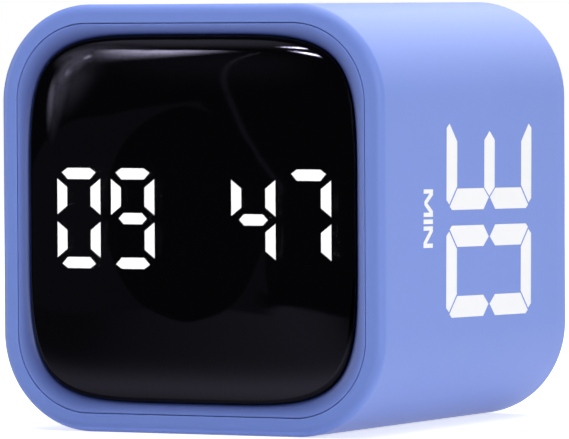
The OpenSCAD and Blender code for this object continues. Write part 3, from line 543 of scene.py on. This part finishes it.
# %% Draw the segments of a printed figure
FIGURE_W = 12.9
FIGURE_H = 28
BAR_T = 3.4
UPRIGHT_T = 3.0
FIGURE_PITCH = 15.1
LIT = {"0": "abcdef", "1": "bc", "3": "abgcd", "5": "afgcd", "6": "afgedc"}

TOP, SIDE = FIGURE_H / 2, FIGURE_W / 2
TIP, TIP_DROP, BEVEL = SIDE - 0.8, 0.9, 0.6
bar = np.array([(-TIP, TOP - TIP_DROP), (BEVEL - TIP, TOP), (TIP - BEVEL, TOP), (TIP, TOP - TIP_DROP),
                (TIP - BAR_T + TIP_DROP, TOP - BAR_T), (BAR_T - TIP_DROP - TIP, TOP - BAR_T)])
MIDDLE_TIP, MIDDLE_BEVEL = SIDE - 1.85, 1.25
flat_end = MIDDLE_TIP - MIDDLE_BEVEL
middle_bar = np.array([(-MIDDLE_TIP, 0), (-flat_end, BAR_T / 2), (flat_end, BAR_T / 2),
                       (MIDDLE_TIP, 0), (flat_end, -BAR_T / 2), (-flat_end, -BAR_T / 2)])
INNER, POINT, HAIRLINE = SIDE - UPRIGHT_T, 0.2, 0.45
POINT_IN, POINT_L = 1.32, 1.75
SHOULDER_DROP, PEAK_IN, PEAK_DROP, INNER_DROP = 1.8, 0.5, 0.6, 0.1
upright = np.array([
    (INNER + POINT_IN, POINT), (SIDE, POINT + POINT_L), (SIDE, TOP - SHOULDER_DROP),
    (SIDE - PEAK_IN, TOP - PEAK_DROP - HAIRLINE), (INNER, TOP - UPRIGHT_T - HAIRLINE - INNER_DROP),
    (INNER, POINT + POINT_L)])
MIRROR_X, MIRROR_Y = np.array([-1, 1]), np.array([1, -1])
SEGMENTS = {"a": bar, "b": upright, "c": upright * MIRROR_Y, "d": bar * MIRROR_Y, "e": -upright,
            "f": upright * MIRROR_X, "g": middle_bar}

LETTER_H, STROKE = 2.95, 0.6
M_W, M_SHOULDER, M_VALLEY, M_CROTCH, M_FOOT = 3.84, 0.8, 1.15, 1.85, 0.25
letter_m = np.array([
    (0, 0), (0, LETTER_H), (M_SHOULDER, LETTER_H), (M_W / 2, M_VALLEY), (M_W - M_SHOULDER, LETTER_H),
    (M_W, LETTER_H), (M_W, 0), (M_W - STROKE, 0), (M_W - STROKE, M_CROTCH), (M_W / 2 + M_FOOT, M_FOOT),
    (M_W / 2 - M_FOOT, M_FOOT), (STROKE, M_CROTCH), (STROKE, 0)])
I_W = 0.64
letter_i = np.array([(0, 0), (0, LETTER_H), (I_W, LETTER_H), (I_W, 0)])
N_W, N_SHOULDER, N_CROTCH = 3.0, 0.75, 1.0
letter_n = np.array([
    (0, 0), (0, LETTER_H), (N_SHOULDER, LETTER_H), (N_W - STROKE, N_CROTCH), (N_W - STROKE, LETTER_H),
    (N_W, LETTER_H), (N_W, 0), (N_W - N_SHOULDER, 0), (STROKE, LETTER_H - N_CROTCH), (STROKE, 0)])
I_PLACE = M_W + 0.35
N_PLACE = I_PLACE + I_W + 0.32
WORD_W = N_PLACE + N_W
word = [letter_m, letter_i + [I_PLACE, 0], letter_n + [N_PLACE, 0]]
print(f"figures {FIGURE_W} by {FIGURE_H} mm, word {WORD_W:.2f} mm")

# %% [markdown]
# The sheet of outlines is laid on a side of the case by two directions: the way that the text reads and the
# way that is up for it, which is towards the back on every side. Their cross product points out of the
# side, so the same drawing fits all four.

# %% Print the four sides
INK_T = 0.02 * MM
INK_SUNK = 0.01 * MM
FIGURE_UP = 3.87
WORD_UP = -17.45
RIGHT_ALONG, RIGHT_TILT = 0.33, -1.05


def ink_shell(outline, spot, reads, upward):
    """A film of ink: one outline just below the surface and one just above it, joined by its edge."""
    outward = np.cross(reads, upward)
    flat = spot + MM * (outline[:, :1] * reads + outline[:, 1:] * upward)
    return ring_shell(np.stack([flat - INK_SUNK * outward, flat + INK_T * outward]), "flat", "flat")


def print_side(name, figures, reads, along=0.0, tilt=0.0):
    """Prints figures and the word below them on the side that the text's directions face out of. The whole
    print may stand a little along the way it reads, and turned by a small tilt in degrees."""
    c, s = math.cos(math.radians(tilt)), math.sin(math.radians(tilt))
    turned = np.array([[c, s], [-s, c]])
    upward = np.array([0, 1, 0])
    reads = np.array(reads)
    spot = middle + CASE_HALF * np.cross(reads, upward)
    outlines = [letter + [-WORD_W / 2, WORD_UP] for letter in word]
    for i, figure in enumerate(figures):
        shift = (i - (len(figures) - 1) / 2) * FIGURE_PITCH
        outlines += [SEGMENTS[segment] + [shift, FIGURE_UP] for segment in LIT[figure]]
    films = [ink_shell(outline @ turned + [along, 0], spot, reads, upward) for outline in outlines]
    return make_piece(name, films, "case", crease=20)


labels = [
    print_side("print_right", "30", (0, 0, -1), RIGHT_ALONG, RIGHT_TILT),
    print_side("print_top", "10", (1, 0, 0)),
    print_side("print_left", "5", (0, 0, 1)),
    print_side("print_bottom", "60", (-1, 0, 0)),
]

# %% [markdown]
# ## Finishes
# A finish starts from what the real surface is and how it was made. Colours are written as they look on a
# screen, and one function turns them into the linear values that the renderer adds up. One more function
# adds a node, sets what it is given and joins its inputs.

# %% Helpers for finishes
def linear(colour):
    """sRGB hex to linear: each channel c is c / 12.92 when small, else ((c + 0.055) / 1.055) ^ 2.4."""
    c = np.array([int(colour[i:i + 2], 16) for i in (1, 3, 5)]) / 255
    return (*np.where(c <= 0.04045, c / 12.92, ((c + 0.055) / 1.055) ** 2.4).tolist(), 1.0)


def add_node(tree, kind, settings=None, links=None):
    """Adds one node. Settings go to its inputs, or else to its properties, and links join its inputs."""
    node = tree.nodes.new(kind)
    inputs = {socket.identifier: socket for socket in node.inputs}
    for name, value in (settings or {}).items():
        if name in inputs:
            inputs[name].default_value = value
        else:
            setattr(node, name, value)
    for name, output in (links or {}).items():
        tree.links.new(output, inputs[name])
    return node


def new_finish(name):
    """An empty material, its nodes, and the coordinates that its patterns read."""
    material = bpy.data.materials.new(name)
    material.use_nodes = True
    tree = material.node_tree
    tree.nodes.clear()
    place = add_node(tree, "ShaderNodeTexCoord").outputs["Object"]
    return material, tree, place


def per_metre(size_mm):
    """Scale of a pattern whose features are so many millimetres apart."""
    return 1 / (size_mm * MM)


def gloss_and_bump(tree, height, smooth, rough, depth_mm, top=1.0):
    """What one pattern does to a surface: as it goes from 0 to its top, the roughness goes from one value to
    the other, and the surface rises."""
    between = {"From Max": top, "To Min": smooth, "To Max": rough}
    gloss = add_node(tree, "ShaderNodeMapRange", between, {"Value": height})
    bump = add_node(tree, "ShaderNodeBump", {"Strength": 1.0, "Distance": depth_mm * MM}, {"Height": height})
    return {"Roughness": gloss.outputs["Result"], "Normal": bump.outputs["Normal"]}


def surfaced(material, settings, links):
    """Ends a finish: the surface with its settings and with what is joined to it."""
    tree = material.node_tree
    surface = add_node(tree, "ShaderNodeBsdfPrincipled", settings, links)
    add_node(tree, "ShaderNodeOutputMaterial", {}, {"Surface": surface.outputs["BSDF"]})
    return material


print("a middle grey passes", round(linear("#808080")[0], 3), "of the light")

# %% [markdown]
# Most pieces are moulded plastic. A mould leaves a fine even grain, and the colour drifts a little where the
# melt flowed. The grain of a real spark-eroded mould is about 0.05 mm, which is finer than a pixel here, so
# it is drawn a few times coarser.

# %% Moulded plastic
FLOW_MM = 14
MOULD_SPREAD = 0.05
DULL = {"Specular IOR Level": 0.1}


def moulded(name, colour, drift, roughness, grain_mm=0.16, grain_depth_mm=0.004, painted_shade=None, **more):
    """Plastic between two shades, mixed by slow noise, with a fine grain in the surface and the gloss. A
    painted shade, if there is one, darkens the plastic by the share of it that the piece stores at its
    points."""
    material, tree, place = new_finish(name)
    slow = {"Scale": per_metre(FLOW_MM), "Detail": 3.0}
    flow = add_node(tree, "ShaderNodeTexNoise", slow, {"Vector": place})
    shades = {"data_type": "RGBA", "A_Color": linear(colour), "B_Color": linear(drift)}
    shade = add_node(tree, "ShaderNodeMix", shades, {"Factor_Float": flow.outputs["Fac"]})
    # Painted shade: a darker colour mixed in by the share stored on the piece, standing in for shade.
    if painted_shade:
        shade_share = add_node(tree, "ShaderNodeAttribute", {"attribute_name": "shade_share"})
        shade = add_node(tree, "ShaderNodeMix", {"data_type": "RGBA", "B_Color": linear(painted_shade)},
                         {"Factor_Float": shade_share.outputs["Fac"], "A_Color": shade.outputs[2]})
    fine = {"Scale": per_metre(grain_mm), "Detail": 2.0}
    grain = add_node(tree, "ShaderNodeTexNoise", fine, {"Vector": place})
    looks = gloss_and_bump(tree, grain.outputs["Fac"], roughness - MOULD_SPREAD, roughness + MOULD_SPREAD,
                           grain_depth_mm)
    return surfaced(material, {"IOR": 1.5, **more}, {"Base Color": shade.outputs[2], **looks})


FINISHES = {
    "case_plastic": moulded("soft_touch_blue_abs", "#738ddb", "#718bd9", 0.5),
    # The bezel's darker inner colour is painted shade, for the ring's shade where it rolls down to the lens.
    "bezel_plastic": moulded("satin_blue_abs", "#7188d3", "#6f86d1", 0.45, painted_shade="#344486"),
    "key_plastic": moulded("matt_key_abs", "#6e87d3", "#6c85d1", 0.5),
    "display_mask": moulded("matt_black_polycarbonate", "#050506", "#060607", 0.8, **DULL),
    "chip_plastic": moulded("moulded_chip_epoxy", "#1d1d20", "#242428", 0.5),
    "white_nylon": moulded("natural_nylon", "#ece6d8", "#e4dccb", 0.45),
    "tray_plastic": moulded("black_tray_abs", "#1b1b1e", "#232327", 0.5),
    "segment_unlit": moulded("unlit_frosted_filling", "#0c0c0e", "#0f0f11", 0.7, **DULL),
}
print("moulded finishes:", len(FINISHES))

# %% [markdown]
# The lens is smoked acrylic, cast and polished: clear plastic with a dark dye, so light from the figures
# comes through weakened and the room is mirrored in its face. The figures are frosted fillings lit from
# behind, bright enough to be white after the dye.

# %% Smoked lens and lit figures
LENS_DYE = "#3b3b3c"
LIT_STRENGTH = 25.5


def smoked_acrylic(name, dye):
    """Clear acrylic with a dye, polished. The mould's slow waviness bends what it mirrors a little."""
    material, tree, place = new_finish(name)
    slow = {"Scale": per_metre(16), "Detail": 1.0}
    wave = add_node(tree, "ShaderNodeTexNoise", slow, {"Vector": place})
    bump = add_node(tree, "ShaderNodeBump", {"Strength": 1.0, "Distance": 0.02 * MM},
                    {"Height": wave.outputs["Fac"]})
    clear = {"Base Color": linear(dye), "IOR": 1.49, "Transmission Weight": 1.0, "Roughness": 0.02}
    return surfaced(material, clear, {"Normal": bump.outputs["Normal"]})


def lit_filling(name, colour, strength):
    """Frosted epoxy that is lit evenly from behind. Slow noise varies how frosted it is."""
    material, tree, place = new_finish(name)
    slow = {"Scale": per_metre(3), "Detail": 1.0}
    cloud = add_node(tree, "ShaderNodeTexNoise", slow, {"Vector": place})
    frost = add_node(tree, "ShaderNodeMapRange", {"To Min": 0.35, "To Max": 0.5},
                     {"Value": cloud.outputs["Fac"]})
    lit = {"Base Color": linear(colour), "IOR": 1.5, "Emission Color": linear(colour),
           "Emission Strength": strength}
    return surfaced(material, lit, {"Roughness": frost.outputs["Result"]})


FINISHES["smoked_lens"] = smoked_acrylic("smoked_acrylic", LENS_DYE)
FINISHES["segment_lit"] = lit_filling("lit_frosted_filling", "#ffffff", LIT_STRENGTH)
print("dye passes", round(linear(LENS_DYE)[0], 3), "of the light")

# %% [markdown]
# White screen-printing ink is a thick matt paint. The mesh of the screen leaves a faint weave of about a
# quarter of a millimetre in its surface, which is drawn about six times coarser here so that it can show.

# %% Printed ink
def screen_ink(name, colour, weave_mm=0.25):
    """White ink with the screen's weave: waves along the three axes are added, and on each flat side two of
    them cross. A wave of the scale s repeats every 2 * pi / (20 * s), so these repeat every 2 * pi weaves."""
    material, tree, place = new_finish(name)
    weave = None
    for axis in ("X", "Y", "Z"):
        waved = {"bands_direction": axis, "Scale": per_metre(weave_mm) / 20, "Distortion": 0.4}
        wave = add_node(tree, "ShaderNodeTexWave", waved, {"Vector": place}).outputs["Fac"]
        if weave is not None:
            both = {"Value": weave, "Value_001": wave}
            wave = add_node(tree, "ShaderNodeMath", {"operation": "ADD"}, both).outputs["Value"]
        weave = wave
    looks = gloss_and_bump(tree, weave, smooth=0.5, rough=0.62, depth_mm=0.002, top=3.0)
    return surfaced(material, {"Base Color": linear(colour), "IOR": 1.5}, looks)


ink = screen_ink("white_screen_ink", "#fbfbfd")
print("ink:", ink.name)

# %% [markdown]
# Inside are metal, foil, film, foam and circuit board. They hardly show, but each still gets the surface it
# has: brushed or plated metal with fine streaks, solder mask over copper tracks, and coloured insulation.

# %% Metals and the inner finishes
DRAWN_OUT = (1.0, 1.0, 0.08)
STREAK_SPREAD = 0.08
SWITCH = (0.46, 0.54)
FOAM = {"grain_mm": 0.3, "grain_depth_mm": 0.03}


def plated(name, colour, roughness, streak_mm=0.3):
    """Plated metal: streaks drawn out along one way vary the gloss and the surface a little."""
    material, tree, place = new_finish(name)
    drawn = add_node(tree, "ShaderNodeMapping", {"Scale": DRAWN_OUT}, {"Vector": place})
    fine = {"Scale": per_metre(streak_mm), "Detail": 3.0}
    streak = add_node(tree, "ShaderNodeTexNoise", fine, {"Vector": drawn.outputs["Vector"]})
    looks = gloss_and_bump(tree, streak.outputs["Fac"], roughness - STREAK_SPREAD,
                           roughness + STREAK_SPREAD, depth_mm=0.003)
    return surfaced(material, {"Base Color": linear(colour), "Metallic": 1.0}, looks)


def two_tone(name, colour, other, roughness, pattern, settings):
    """A surface of two colours that a pattern switches between: tracks on a board, or a pair of leads."""
    material, tree, place = new_finish(name)
    drawn = add_node(tree, pattern, settings, {"Vector": place})
    ramp = add_node(tree, "ShaderNodeValToRGB", {}, {"Fac": drawn.outputs[0]})
    for stop, position, shade in zip(ramp.color_ramp.elements, SWITCH, (colour, other)):
        stop.position = position
        stop.color = linear(shade)
    return surfaced(material, {"Roughness": roughness, "IOR": 1.5}, {"Base Color": ramp.outputs["Color"]})


FINISHES.update({
    "screw_steel": plated("zinc_plated_steel", "#b9bcc0", 0.32),
    "socket_steel": plated("nickel_plated_steel", "#c6c8cb", 0.25),
    "magnet_iron": plated("plated_iron", "#7d8085", 0.35),
    "battery_foil": plated("aluminium_pouch_foil", "#c2c5ca", 0.38, streak_mm=2.0),
    "circuit_board": two_tone("solder_mask_over_copper", "#145238", "#1b6a48", 0.35, "ShaderNodeTexVoronoi",
                              {"feature": "DISTANCE_TO_EDGE", "Scale": per_metre(2.5)}),
    "lead_insulation": two_tone("extruded_lead_insulation", "#a81818", "#1a1a1c", 0.45, "ShaderNodeTexNoise",
                                {"Scale": per_metre(40)}),
    "board_amber": two_tone("varnished_board_parts", "#b98a3c", "#8d6a34", 0.4, "ShaderNodeTexNoise",
                            {"Scale": per_metre(1.2)}),
    "black_tape": moulded("black_foam_tape", "#101012", "#18181a", 0.85, **FOAM),
    "tape_foam": moulded("cream_foam_tape", "#d6cfbc", "#cbc3ae", 0.85, **FOAM),
    "lamp_chip": moulded("phosphor_lamp", "#f2ecc0", "#ece3ae", 0.3),
    "cable_grey": moulded("laminated_ribbon", "#989ea6", "#9fa5ad", 0.45, grain_mm=1.0),
    "cone_film": moulded("pressed_cone_film", "#26262a", "#2f2f33", 0.55, grain_mm=0.4, grain_depth_mm=0.02),
})
print("finishes:", len(FINISHES))

# %% [markdown]
# ## Dressing
# Each piece of the frame names a material slot, so one table of finishes dresses them all. The pieces that
# were made above take the finish of the slot that they stand for, and the printed films take their ink.

# %% Dress every piece
def dress(piece, material):
    """Gives a piece one material, in the slot that it has or in a new one."""
    if piece.data.materials:
        piece.data.materials[0] = material
    else:
        piece.data.materials.append(material)


parts = frame["record"]["subparts"]
for part in parts:
    dress(frame["nodes"][part["node"]], FINISHES[part["material_slot"]])
stand_ins = (sleeve, bezel, lens, *keys)
for piece in stand_ins:
    dress(piece, FINISHES[piece["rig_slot"]])
for label in labels:
    dress(label, ink)
dress(lens_print, moulded("black_screen_ink", "#08080a", "#0a0a0c", 0.7))
print("dressed", len(parts), "nodes,", len(stand_ins), "pieces that stand for some, and the prints")

# %% [markdown]
# ## Stage
# A picture like this one is taken on white paper. Paper lit until it is white would wash the cube out, so
# the floor and the world shine white only where the camera, a mirror or a clear piece looks at them, and
# they light the cube at a plain level.

# %% World
SEEN_WHITE = 1.0
WORLD_LIGHT = 0.12
WHITE = (1, 1, 1, 1)


def seen_directly(tree):
    """1 for rays from the camera, from mirror-like surfaces and through clear ones, and 0 for the rest."""
    rays = add_node(tree, "ShaderNodeLightPath")
    seen = rays.outputs["Is Camera Ray"]
    for kind in ("Is Glossy Ray", "Is Transmission Ray"):
        either = {"Value": seen, "Value_001": rays.outputs[kind]}
        seen = add_node(tree, "ShaderNodeMath", {"operation": "MAXIMUM"}, either).outputs["Value"]
    return seen


world = bpy.data.worlds.new("white_studio")
world.use_nodes = True
tree = world.node_tree
tree.nodes.clear()
level = add_node(tree, "ShaderNodeMapRange", {"To Min": WORLD_LIGHT, "To Max": SEEN_WHITE},
                 {"Value": seen_directly(tree)})
sky = add_node(tree, "ShaderNodeBackground", {"Color": WHITE}, {"Strength": level.outputs["Result"]})
add_node(tree, "ShaderNodeOutputWorld", {}, {"Surface": sky.outputs["Background"]})
bpy.context.scene.world = world
print("world looks", SEEN_WHITE, "and lights with", WORLD_LIGHT)

# %% [markdown]
# The floor is matt paper, and its shine is added to the light that it sends back. For the camera the shine
# dips a little near the cube, which leaves the soft shadow that ties the cube to the floor.

# %% Floor
FLOOR_SIZE = 8.0
PAPER = "#ececec"
FLOOR_LIFT = 0.91
FLOOR_GLOW = 0.1
NEAR_DIP = 0.27
DIP_FROM, DIP_TO = 0.08, 0.6

floor_mesh = bpy.data.meshes.new("floor")
half = FLOOR_SIZE / 2
floor_corners = [(-half, -half, 0), (half, -half, 0), (half, half, 0), (-half, half, 0)]
floor_mesh.from_pydata(floor_corners, [], [(0, 1, 2, 3)])
floor = bpy.data.objects.new("floor", floor_mesh)
bpy.context.scene.collection.objects.link(floor)
paper, tree, place = new_finish("white_paper_floor")
matt = add_node(tree, "ShaderNodeBsdfDiffuse", {"Color": linear(PAPER)})
lift = add_node(tree, "ShaderNodeMapRange", {"To Min": FLOOR_GLOW, "To Max": FLOOR_LIFT},
                {"Value": seen_directly(tree)})
away = add_node(tree, "ShaderNodeVectorMath", {"operation": "LENGTH"}, {"Vector": place})
dipping = {"From Min": DIP_FROM, "From Max": DIP_TO, "To Min": NEAR_DIP, "To Max": 0.0}
dip = add_node(tree, "ShaderNodeMapRange", dipping, {"Value": away.outputs["Value"]})
camera_ray = add_node(tree, "ShaderNodeLightPath").outputs["Is Camera Ray"]
seen_dip = add_node(tree, "ShaderNodeMath", {"operation": "MULTIPLY"},
                    {"Value": dip.outputs["Result"], "Value_001": camera_ray})
strength = add_node(tree, "ShaderNodeMath", {"operation": "SUBTRACT"},
                    {"Value": lift.outputs["Result"], "Value_001": seen_dip.outputs["Value"]})
glow = add_node(tree, "ShaderNodeEmission", {"Color": WHITE}, {"Strength": strength.outputs["Value"]})
sheet = add_node(tree, "ShaderNodeAddShader", {},
                 {"Shader": matt.outputs["BSDF"], "Shader_001": glow.outputs["Emission"]})
add_node(tree, "ShaderNodeOutputMaterial", {}, {"Surface": sheet.outputs["Shader"]})
dress(floor, paper)
print("floor", FLOOR_SIZE, "m")

# %% [markdown]
# Six soft lamps stand round the cube. A small one hangs close above the front, so the front grows darker
# downwards, as it does in the photograph. Two low ones light the left and the right, and the right one also
# brightens the rounded corner between the front and the side. One high on the right lights the top and its
# rounded edge, and two behind keep the back as plain as the rest.

# %% Lamps
def place_lamp(name, azimuth, elevation, distance, size, level, mirrored=True):
    """A square soft light at two angles from the cube, aimed at it. A level of 1 lights a white surface that
    faces it to white: straight ahead such a lamp gives power / (pi * distance^2), and the surface sends out
    1 / pi of that. A lamp that isn't mirrored shows in no glossy or clear surface."""
    way, side = way_to(azimuth, elevation), way_to(azimuth + 90, 0)
    data = bpy.data.lights.new(name, "AREA")
    data.size = size
    data.energy = level * math.pi ** 2 * distance ** 2
    lamp = bpy.data.objects.new(name, data)
    lamp.matrix_world = stood(side, np.cross(way, side), way, middle + distance * way)
    bpy.context.scene.collection.objects.link(lamp)
    lamp.visible_camera = False
    lamp.visible_glossy = lamp.visible_transmission = mirrored
    return lamp


# Azimuth and elevation in degrees, distance and size in metres, and level.
lamps = [
    place_lamp("over_light", 5, 76, 0.165, 0.15, 0.85, mirrored=False),
    place_lamp("left_light", -74, 12, 0.9, 0.4, 0.3),
    place_lamp("right_light", 55, 11, 0.9, 0.25, 0.37),
    place_lamp("top_light", 110, 72, 0.7, 0.5, 0.32),
    place_lamp("back_light", 180, 25, 0.9, 0.6, 0.3),
    place_lamp("rim_light", -135, 55, 0.7, 0.3, 0.15),
]
print("lamps:", [lamp.name for lamp in lamps])

# %% [markdown]
# Glossy black shows whatever it mirrors. A photographer hangs black cloth in front of such a lens, and adds
# cards where streaks are wanted. The tent here is a part of a dome in front of the lens, nearly black, that
# only mirror-like and clear surfaces see, so the lamps still light the case through it.

# %% A dark tent in front of the lens
TENT_R = 0.42
TENT_SIDES = (-150, 110)
TENT_RISE = (-4, 100)
DARK = 0.03
COLD_WHITE = "#dfdaff"


def grid_mesh(name, points):
    """Faces between neighbours on a grid of points."""
    rows, columns = points.shape[:2]
    r, c = np.mgrid[0:rows - 1, 0:columns - 1]
    first = r * columns + c
    faces = np.stack([first, first + 1, first + columns + 1, first + columns], axis=-1).reshape(-1, 4)
    mesh = bpy.data.meshes.new(name)
    mesh.from_pydata(points.reshape(-1, 3).tolist(), [], faces.tolist())
    return mesh


def shining(name, mesh, levels, clear):
    """A thing of the stage that shines by the level at each of its points, in a cold white with a little
    violet whose green is the level. The camera and matt surfaces don't see it. Where it is clear, its shine
    is added to what lies behind it."""
    cold = linear(COLD_WHITE)
    mesh.attributes.new("level", "FLOAT", "POINT").data.foreach_set("value", np.ravel(levels) / cold[1])
    material, tree, _ = new_finish(name)
    level = add_node(tree, "ShaderNodeAttribute", {"attribute_name": "level"})
    shine = add_node(tree, "ShaderNodeEmission", {"Color": cold}, {"Strength": level.outputs["Fac"]})
    seen = shine.outputs["Emission"]
    if clear:
        gap = add_node(tree, "ShaderNodeBsdfTransparent", {"Color": WHITE})
        both = {"Shader": gap.outputs["BSDF"], "Shader_001": seen}
        seen = add_node(tree, "ShaderNodeAddShader", {}, both).outputs["Shader"]
    add_node(tree, "ShaderNodeOutputMaterial", {}, {"Surface": seen})
    thing = bpy.data.objects.new(name, mesh)
    bpy.context.scene.collection.objects.link(thing)
    dress(thing, material)
    thing.visible_camera = thing.visible_diffuse = thing.visible_shadow = False
    thing.visible_transmission = not clear
    return thing


lens_middle = np.array([0, Y_FRONT, Z_MID])
dome = way_to(np.linspace(*TENT_SIDES, 41)[None, :], np.linspace(*TENT_RISE, 21)[:, None])
tent_mesh = grid_mesh("tent", lens_middle + TENT_R * dome)
tent = shining("black_tent", tent_mesh, np.full(dome.shape[:2], DARK), False)
print("tent:", len(tent.data.polygons), "faces")

# %% [markdown]
# The light shapes in the lens stand on one plane, square to the way in which the lens mirrors for the camera,
# and are placed by millimetres to the side and up. A card is flat and even, or it is a grid that stores its
# shine at its points, so that it can fade out towards its edge.

# %% A plane for the cards that the lens mirrors
CARD_WAY = (-27.9, -1.9)
CARD_DISTANCE = 0.4
card_out = way_to(*CARD_WAY)
card_side = way_to(CARD_WAY[0] + 90, 0)
card_rise = np.cross(card_out, card_side)
cards = []


def on_card(side, rise, distance=CARD_DISTANCE):
    """Points of the plane across the way that the lens mirrors, from millimetres to the side and up."""
    side, rise = np.broadcast_arrays(side, rise)
    across = side[..., None] * card_side + rise[..., None] * card_rise
    return lens_middle + distance * card_out + MM * across


def flat_card(name, points, level, clear):
    """An even card with one face, from its outline."""
    mesh = bpy.data.meshes.new(name)
    mesh.from_pydata(points.tolist(), [], [list(range(len(points)))])
    cards.append(shining(name, mesh, np.full(len(points), level), clear))


def soft_card(name, side, rise, level):
    """A clear card on a grid, with its own shine at each point."""
    points = on_card(side, rise)
    cards.append(shining(name, grid_mesh(name, points), level + np.zeros(points.shape[:2]), True))


def shares(along, across):
    """Shares from 0 to 1 along and across a card, for a grid of so many points."""
    return np.linspace(0, 1, along)[None, :], np.linspace(0, 1, across)[:, None]


print("plane of the cards:", CARD_DISTANCE, "m away, towards", card_out.round(3).tolist())

# %% [markdown]
# The shapes melt into the black: a long streak with a paler band above it, the edge of a bent sheet, soft
# veils and patches at the top and round the upper left corner, two short dashes and a faint grey panel. A
# dark oval hangs halfway to the plane and covers a part of the panel.

# %% Hang the cards
def soft_spot(name, side, rise, half_long, half_short, turn, level):
    """An oval that shines most in its middle: the level falls as (1 - r^2)^2 over the share r to its edge."""
    once_round, r = shares(33, 9)
    w = 2 * math.pi * once_round
    along, across = half_long * r * np.cos(w), half_short * r * np.sin(w)
    c, s = math.cos(math.radians(turn)), math.sin(math.radians(turn))
    soft_card(name, side + c * along - s * across, rise + s * along + c * across, level * (1 - r ** 2) ** 2)


def streak(left=-28, length=43, low=49, low_rise=15, high=66.5, high_fall=2.5, level=14):
    """A wedge that narrows to the right. Its shine is a power of a sine along it, and across it rises with
    the share from the lower edge and drops at the upper one."""
    s, t = shares(41, 25)
    bottom, top = low + low_rise * s ** 1.5, high - high_fall * s ** 2
    along = np.sin(math.pi * np.minimum(s / 0.95, 1)) ** 2.2
    shine = level * along * t ** 1.7 * (1 - t ** 16)
    soft_card("streak", left + length * s, bottom + (top - bottom) * t, shine)


def pale_band(left=-48, length=82, low=67, height=26, level=0.5):
    """A straight band: nearly even along its length and soft across, both by powers of a sine."""
    s, t = shares(41, 13)
    shine = level * np.sin(math.pi * s) ** 0.5 * np.sin(math.pi * t) ** 1.5
    soft_card("pale_band", left + length * s, low + height * t, shine)


def bent_edge(side=7, low=6, height=57, bend_at=40, bend=64, half_width=0.9, level=0.1, top_level=0.35):
    """The edge of a bent sheet: a narrow ribbon along a parabola, soft across and brighter at its top."""
    s, t = shares(41, 5)
    t = 2 * t - 1
    rise = low + height * s
    shine = (level + top_level * s ** 6) * (1 - t ** 2)
    soft_card("bent_edge", side + (rise - bend_at) ** 2 / bend + half_width * t, rise, shine)


PANEL = np.array([(-120, -17), (20, -17), (22, 5), (2, 31), (-22, 25.5), (-120, 3)])
PANEL_LEVEL = 0.04
OVAL_HALF, OVAL_MIDDLE, OVAL_POWER = (17, 21.4), (-0.5, 1), 1.21
# Place to the side and up, half length and half width in millimetres, turn in degrees, and level.
SPOTS = {
    "wide_veil": (-31, 61, 28, 15, 10, 1.0), "upper_veil": (8, 50, 38, 18, 0, 0.05),
    "left_veil": (-45, 38, 24, 11, 75, 0.8), "corner_veil": (-37, 50, 18, 9, 45, 1.3),
    "corner_patch_1": (-38.5, 46, 5, 3.5, 60, 2.0), "corner_patch_2": (-28, 58, 4, 2.5, 60, 6.0),
    "inner_veil": (-34, 40, 21, 13, 55, 0.34), "edge_glow": (-52, 33, 15, 6, 80, 1.4),
    "dash_1": (32, 73.5, 12, 1.6, 8, 50), "dash_2": (41, 67, 15, 1.8, 0, 50),
}

flat_card("grey_panel", on_card(PANEL[:, 0], PANEL[:, 1]), PANEL_LEVEL, True)
w = full_turn(96)
oval = [centre + half * np.sign(v) * np.abs(v) ** OVAL_POWER
        for centre, half, v in zip(OVAL_MIDDLE, OVAL_HALF, (np.cos(w), np.sin(w)))]
flat_card("dark_oval", on_card(*oval, CARD_DISTANCE / 2), DARK, False)
streak()
pale_band()
bent_edge()
for name, spot in SPOTS.items():
    soft_spot(name, *spot)
print("cards:", [card.name for card in cards])

# %% [markdown]
# The lowest part of the lens mirrors the floor in front of the cube. It is a grey that grows lighter to the
# right and close to the cube, and it ends in the edge of a sheet with a low hump on the right. A sheet with
# that grey lies just above the floor, where only mirror-like and clear surfaces see it. Past its edge it has
# the level of what stands there: the panel on the left and the black cloth on the right.

# %% A grey sheet on the floor in front of the lens
SHEET_RISE = 0.0005
GREY, GREY_PER_M = 0.12, 2.6
NEAR_GREY, NEAR_WAY = 0.34, 0.038
FADE_WAY = 0.045
EDGE_WAY, EDGE_SOFT = 0.265, 0.012
PANEL_END = 0.0185
HUMP, HUMP_W = 0.06, 0.009
sheet_side = np.linspace(-TENT_R, TENT_R, 337)[None, :]
sheet_way = np.linspace(0, TENT_R, 85)[:, None]
came_from = sheet_side - sheet_way * math.tan(math.radians(CARD_WAY[0]))
past_lens = np.maximum(came_from - LENS_HALF, 0) / FADE_WAY
near = sheet_way / NEAR_WAY
grey = GREY + GREY_PER_M * np.clip(came_from, -LENS_HALF, LENS_HALF)
grey = (grey + NEAR_GREY * (near * np.exp(1 - near)) ** 4) * np.exp(-past_lens ** 2)
past_panel = np.maximum(came_from - PANEL_END, 0) / HUMP_W
edge = EDGE_WAY + HUMP * past_panel * np.exp(1 - past_panel)
to_card = sheet_side * card_out[0] - sheet_way * card_out[1] + (SHEET_RISE - Z_MID) * card_out[2]
beyond = DARK + PANEL_LEVEL * (past_panel == 0) * (to_card < CARD_DISTANCE)
grey = beyond + (grey - beyond) * np.clip((edge - sheet_way) / EDGE_SOFT, 0, 1)
sheet_points = np.stack(np.broadcast_arrays(sheet_side, Y_FRONT - sheet_way, SHEET_RISE), axis=-1)
grey_sheet = shining("grey_sheet", grid_mesh("grey_sheet", sheet_points), grey, False)
print("sheet in front:", len(grey_sheet.data.polygons), "faces")

# %% [markdown]
# ## Finish
# The view stays as plain as the light: the standard transform shows a colour as it is written.

# %% View settings
bpy.context.scene.view_settings.view_transform = "Standard"
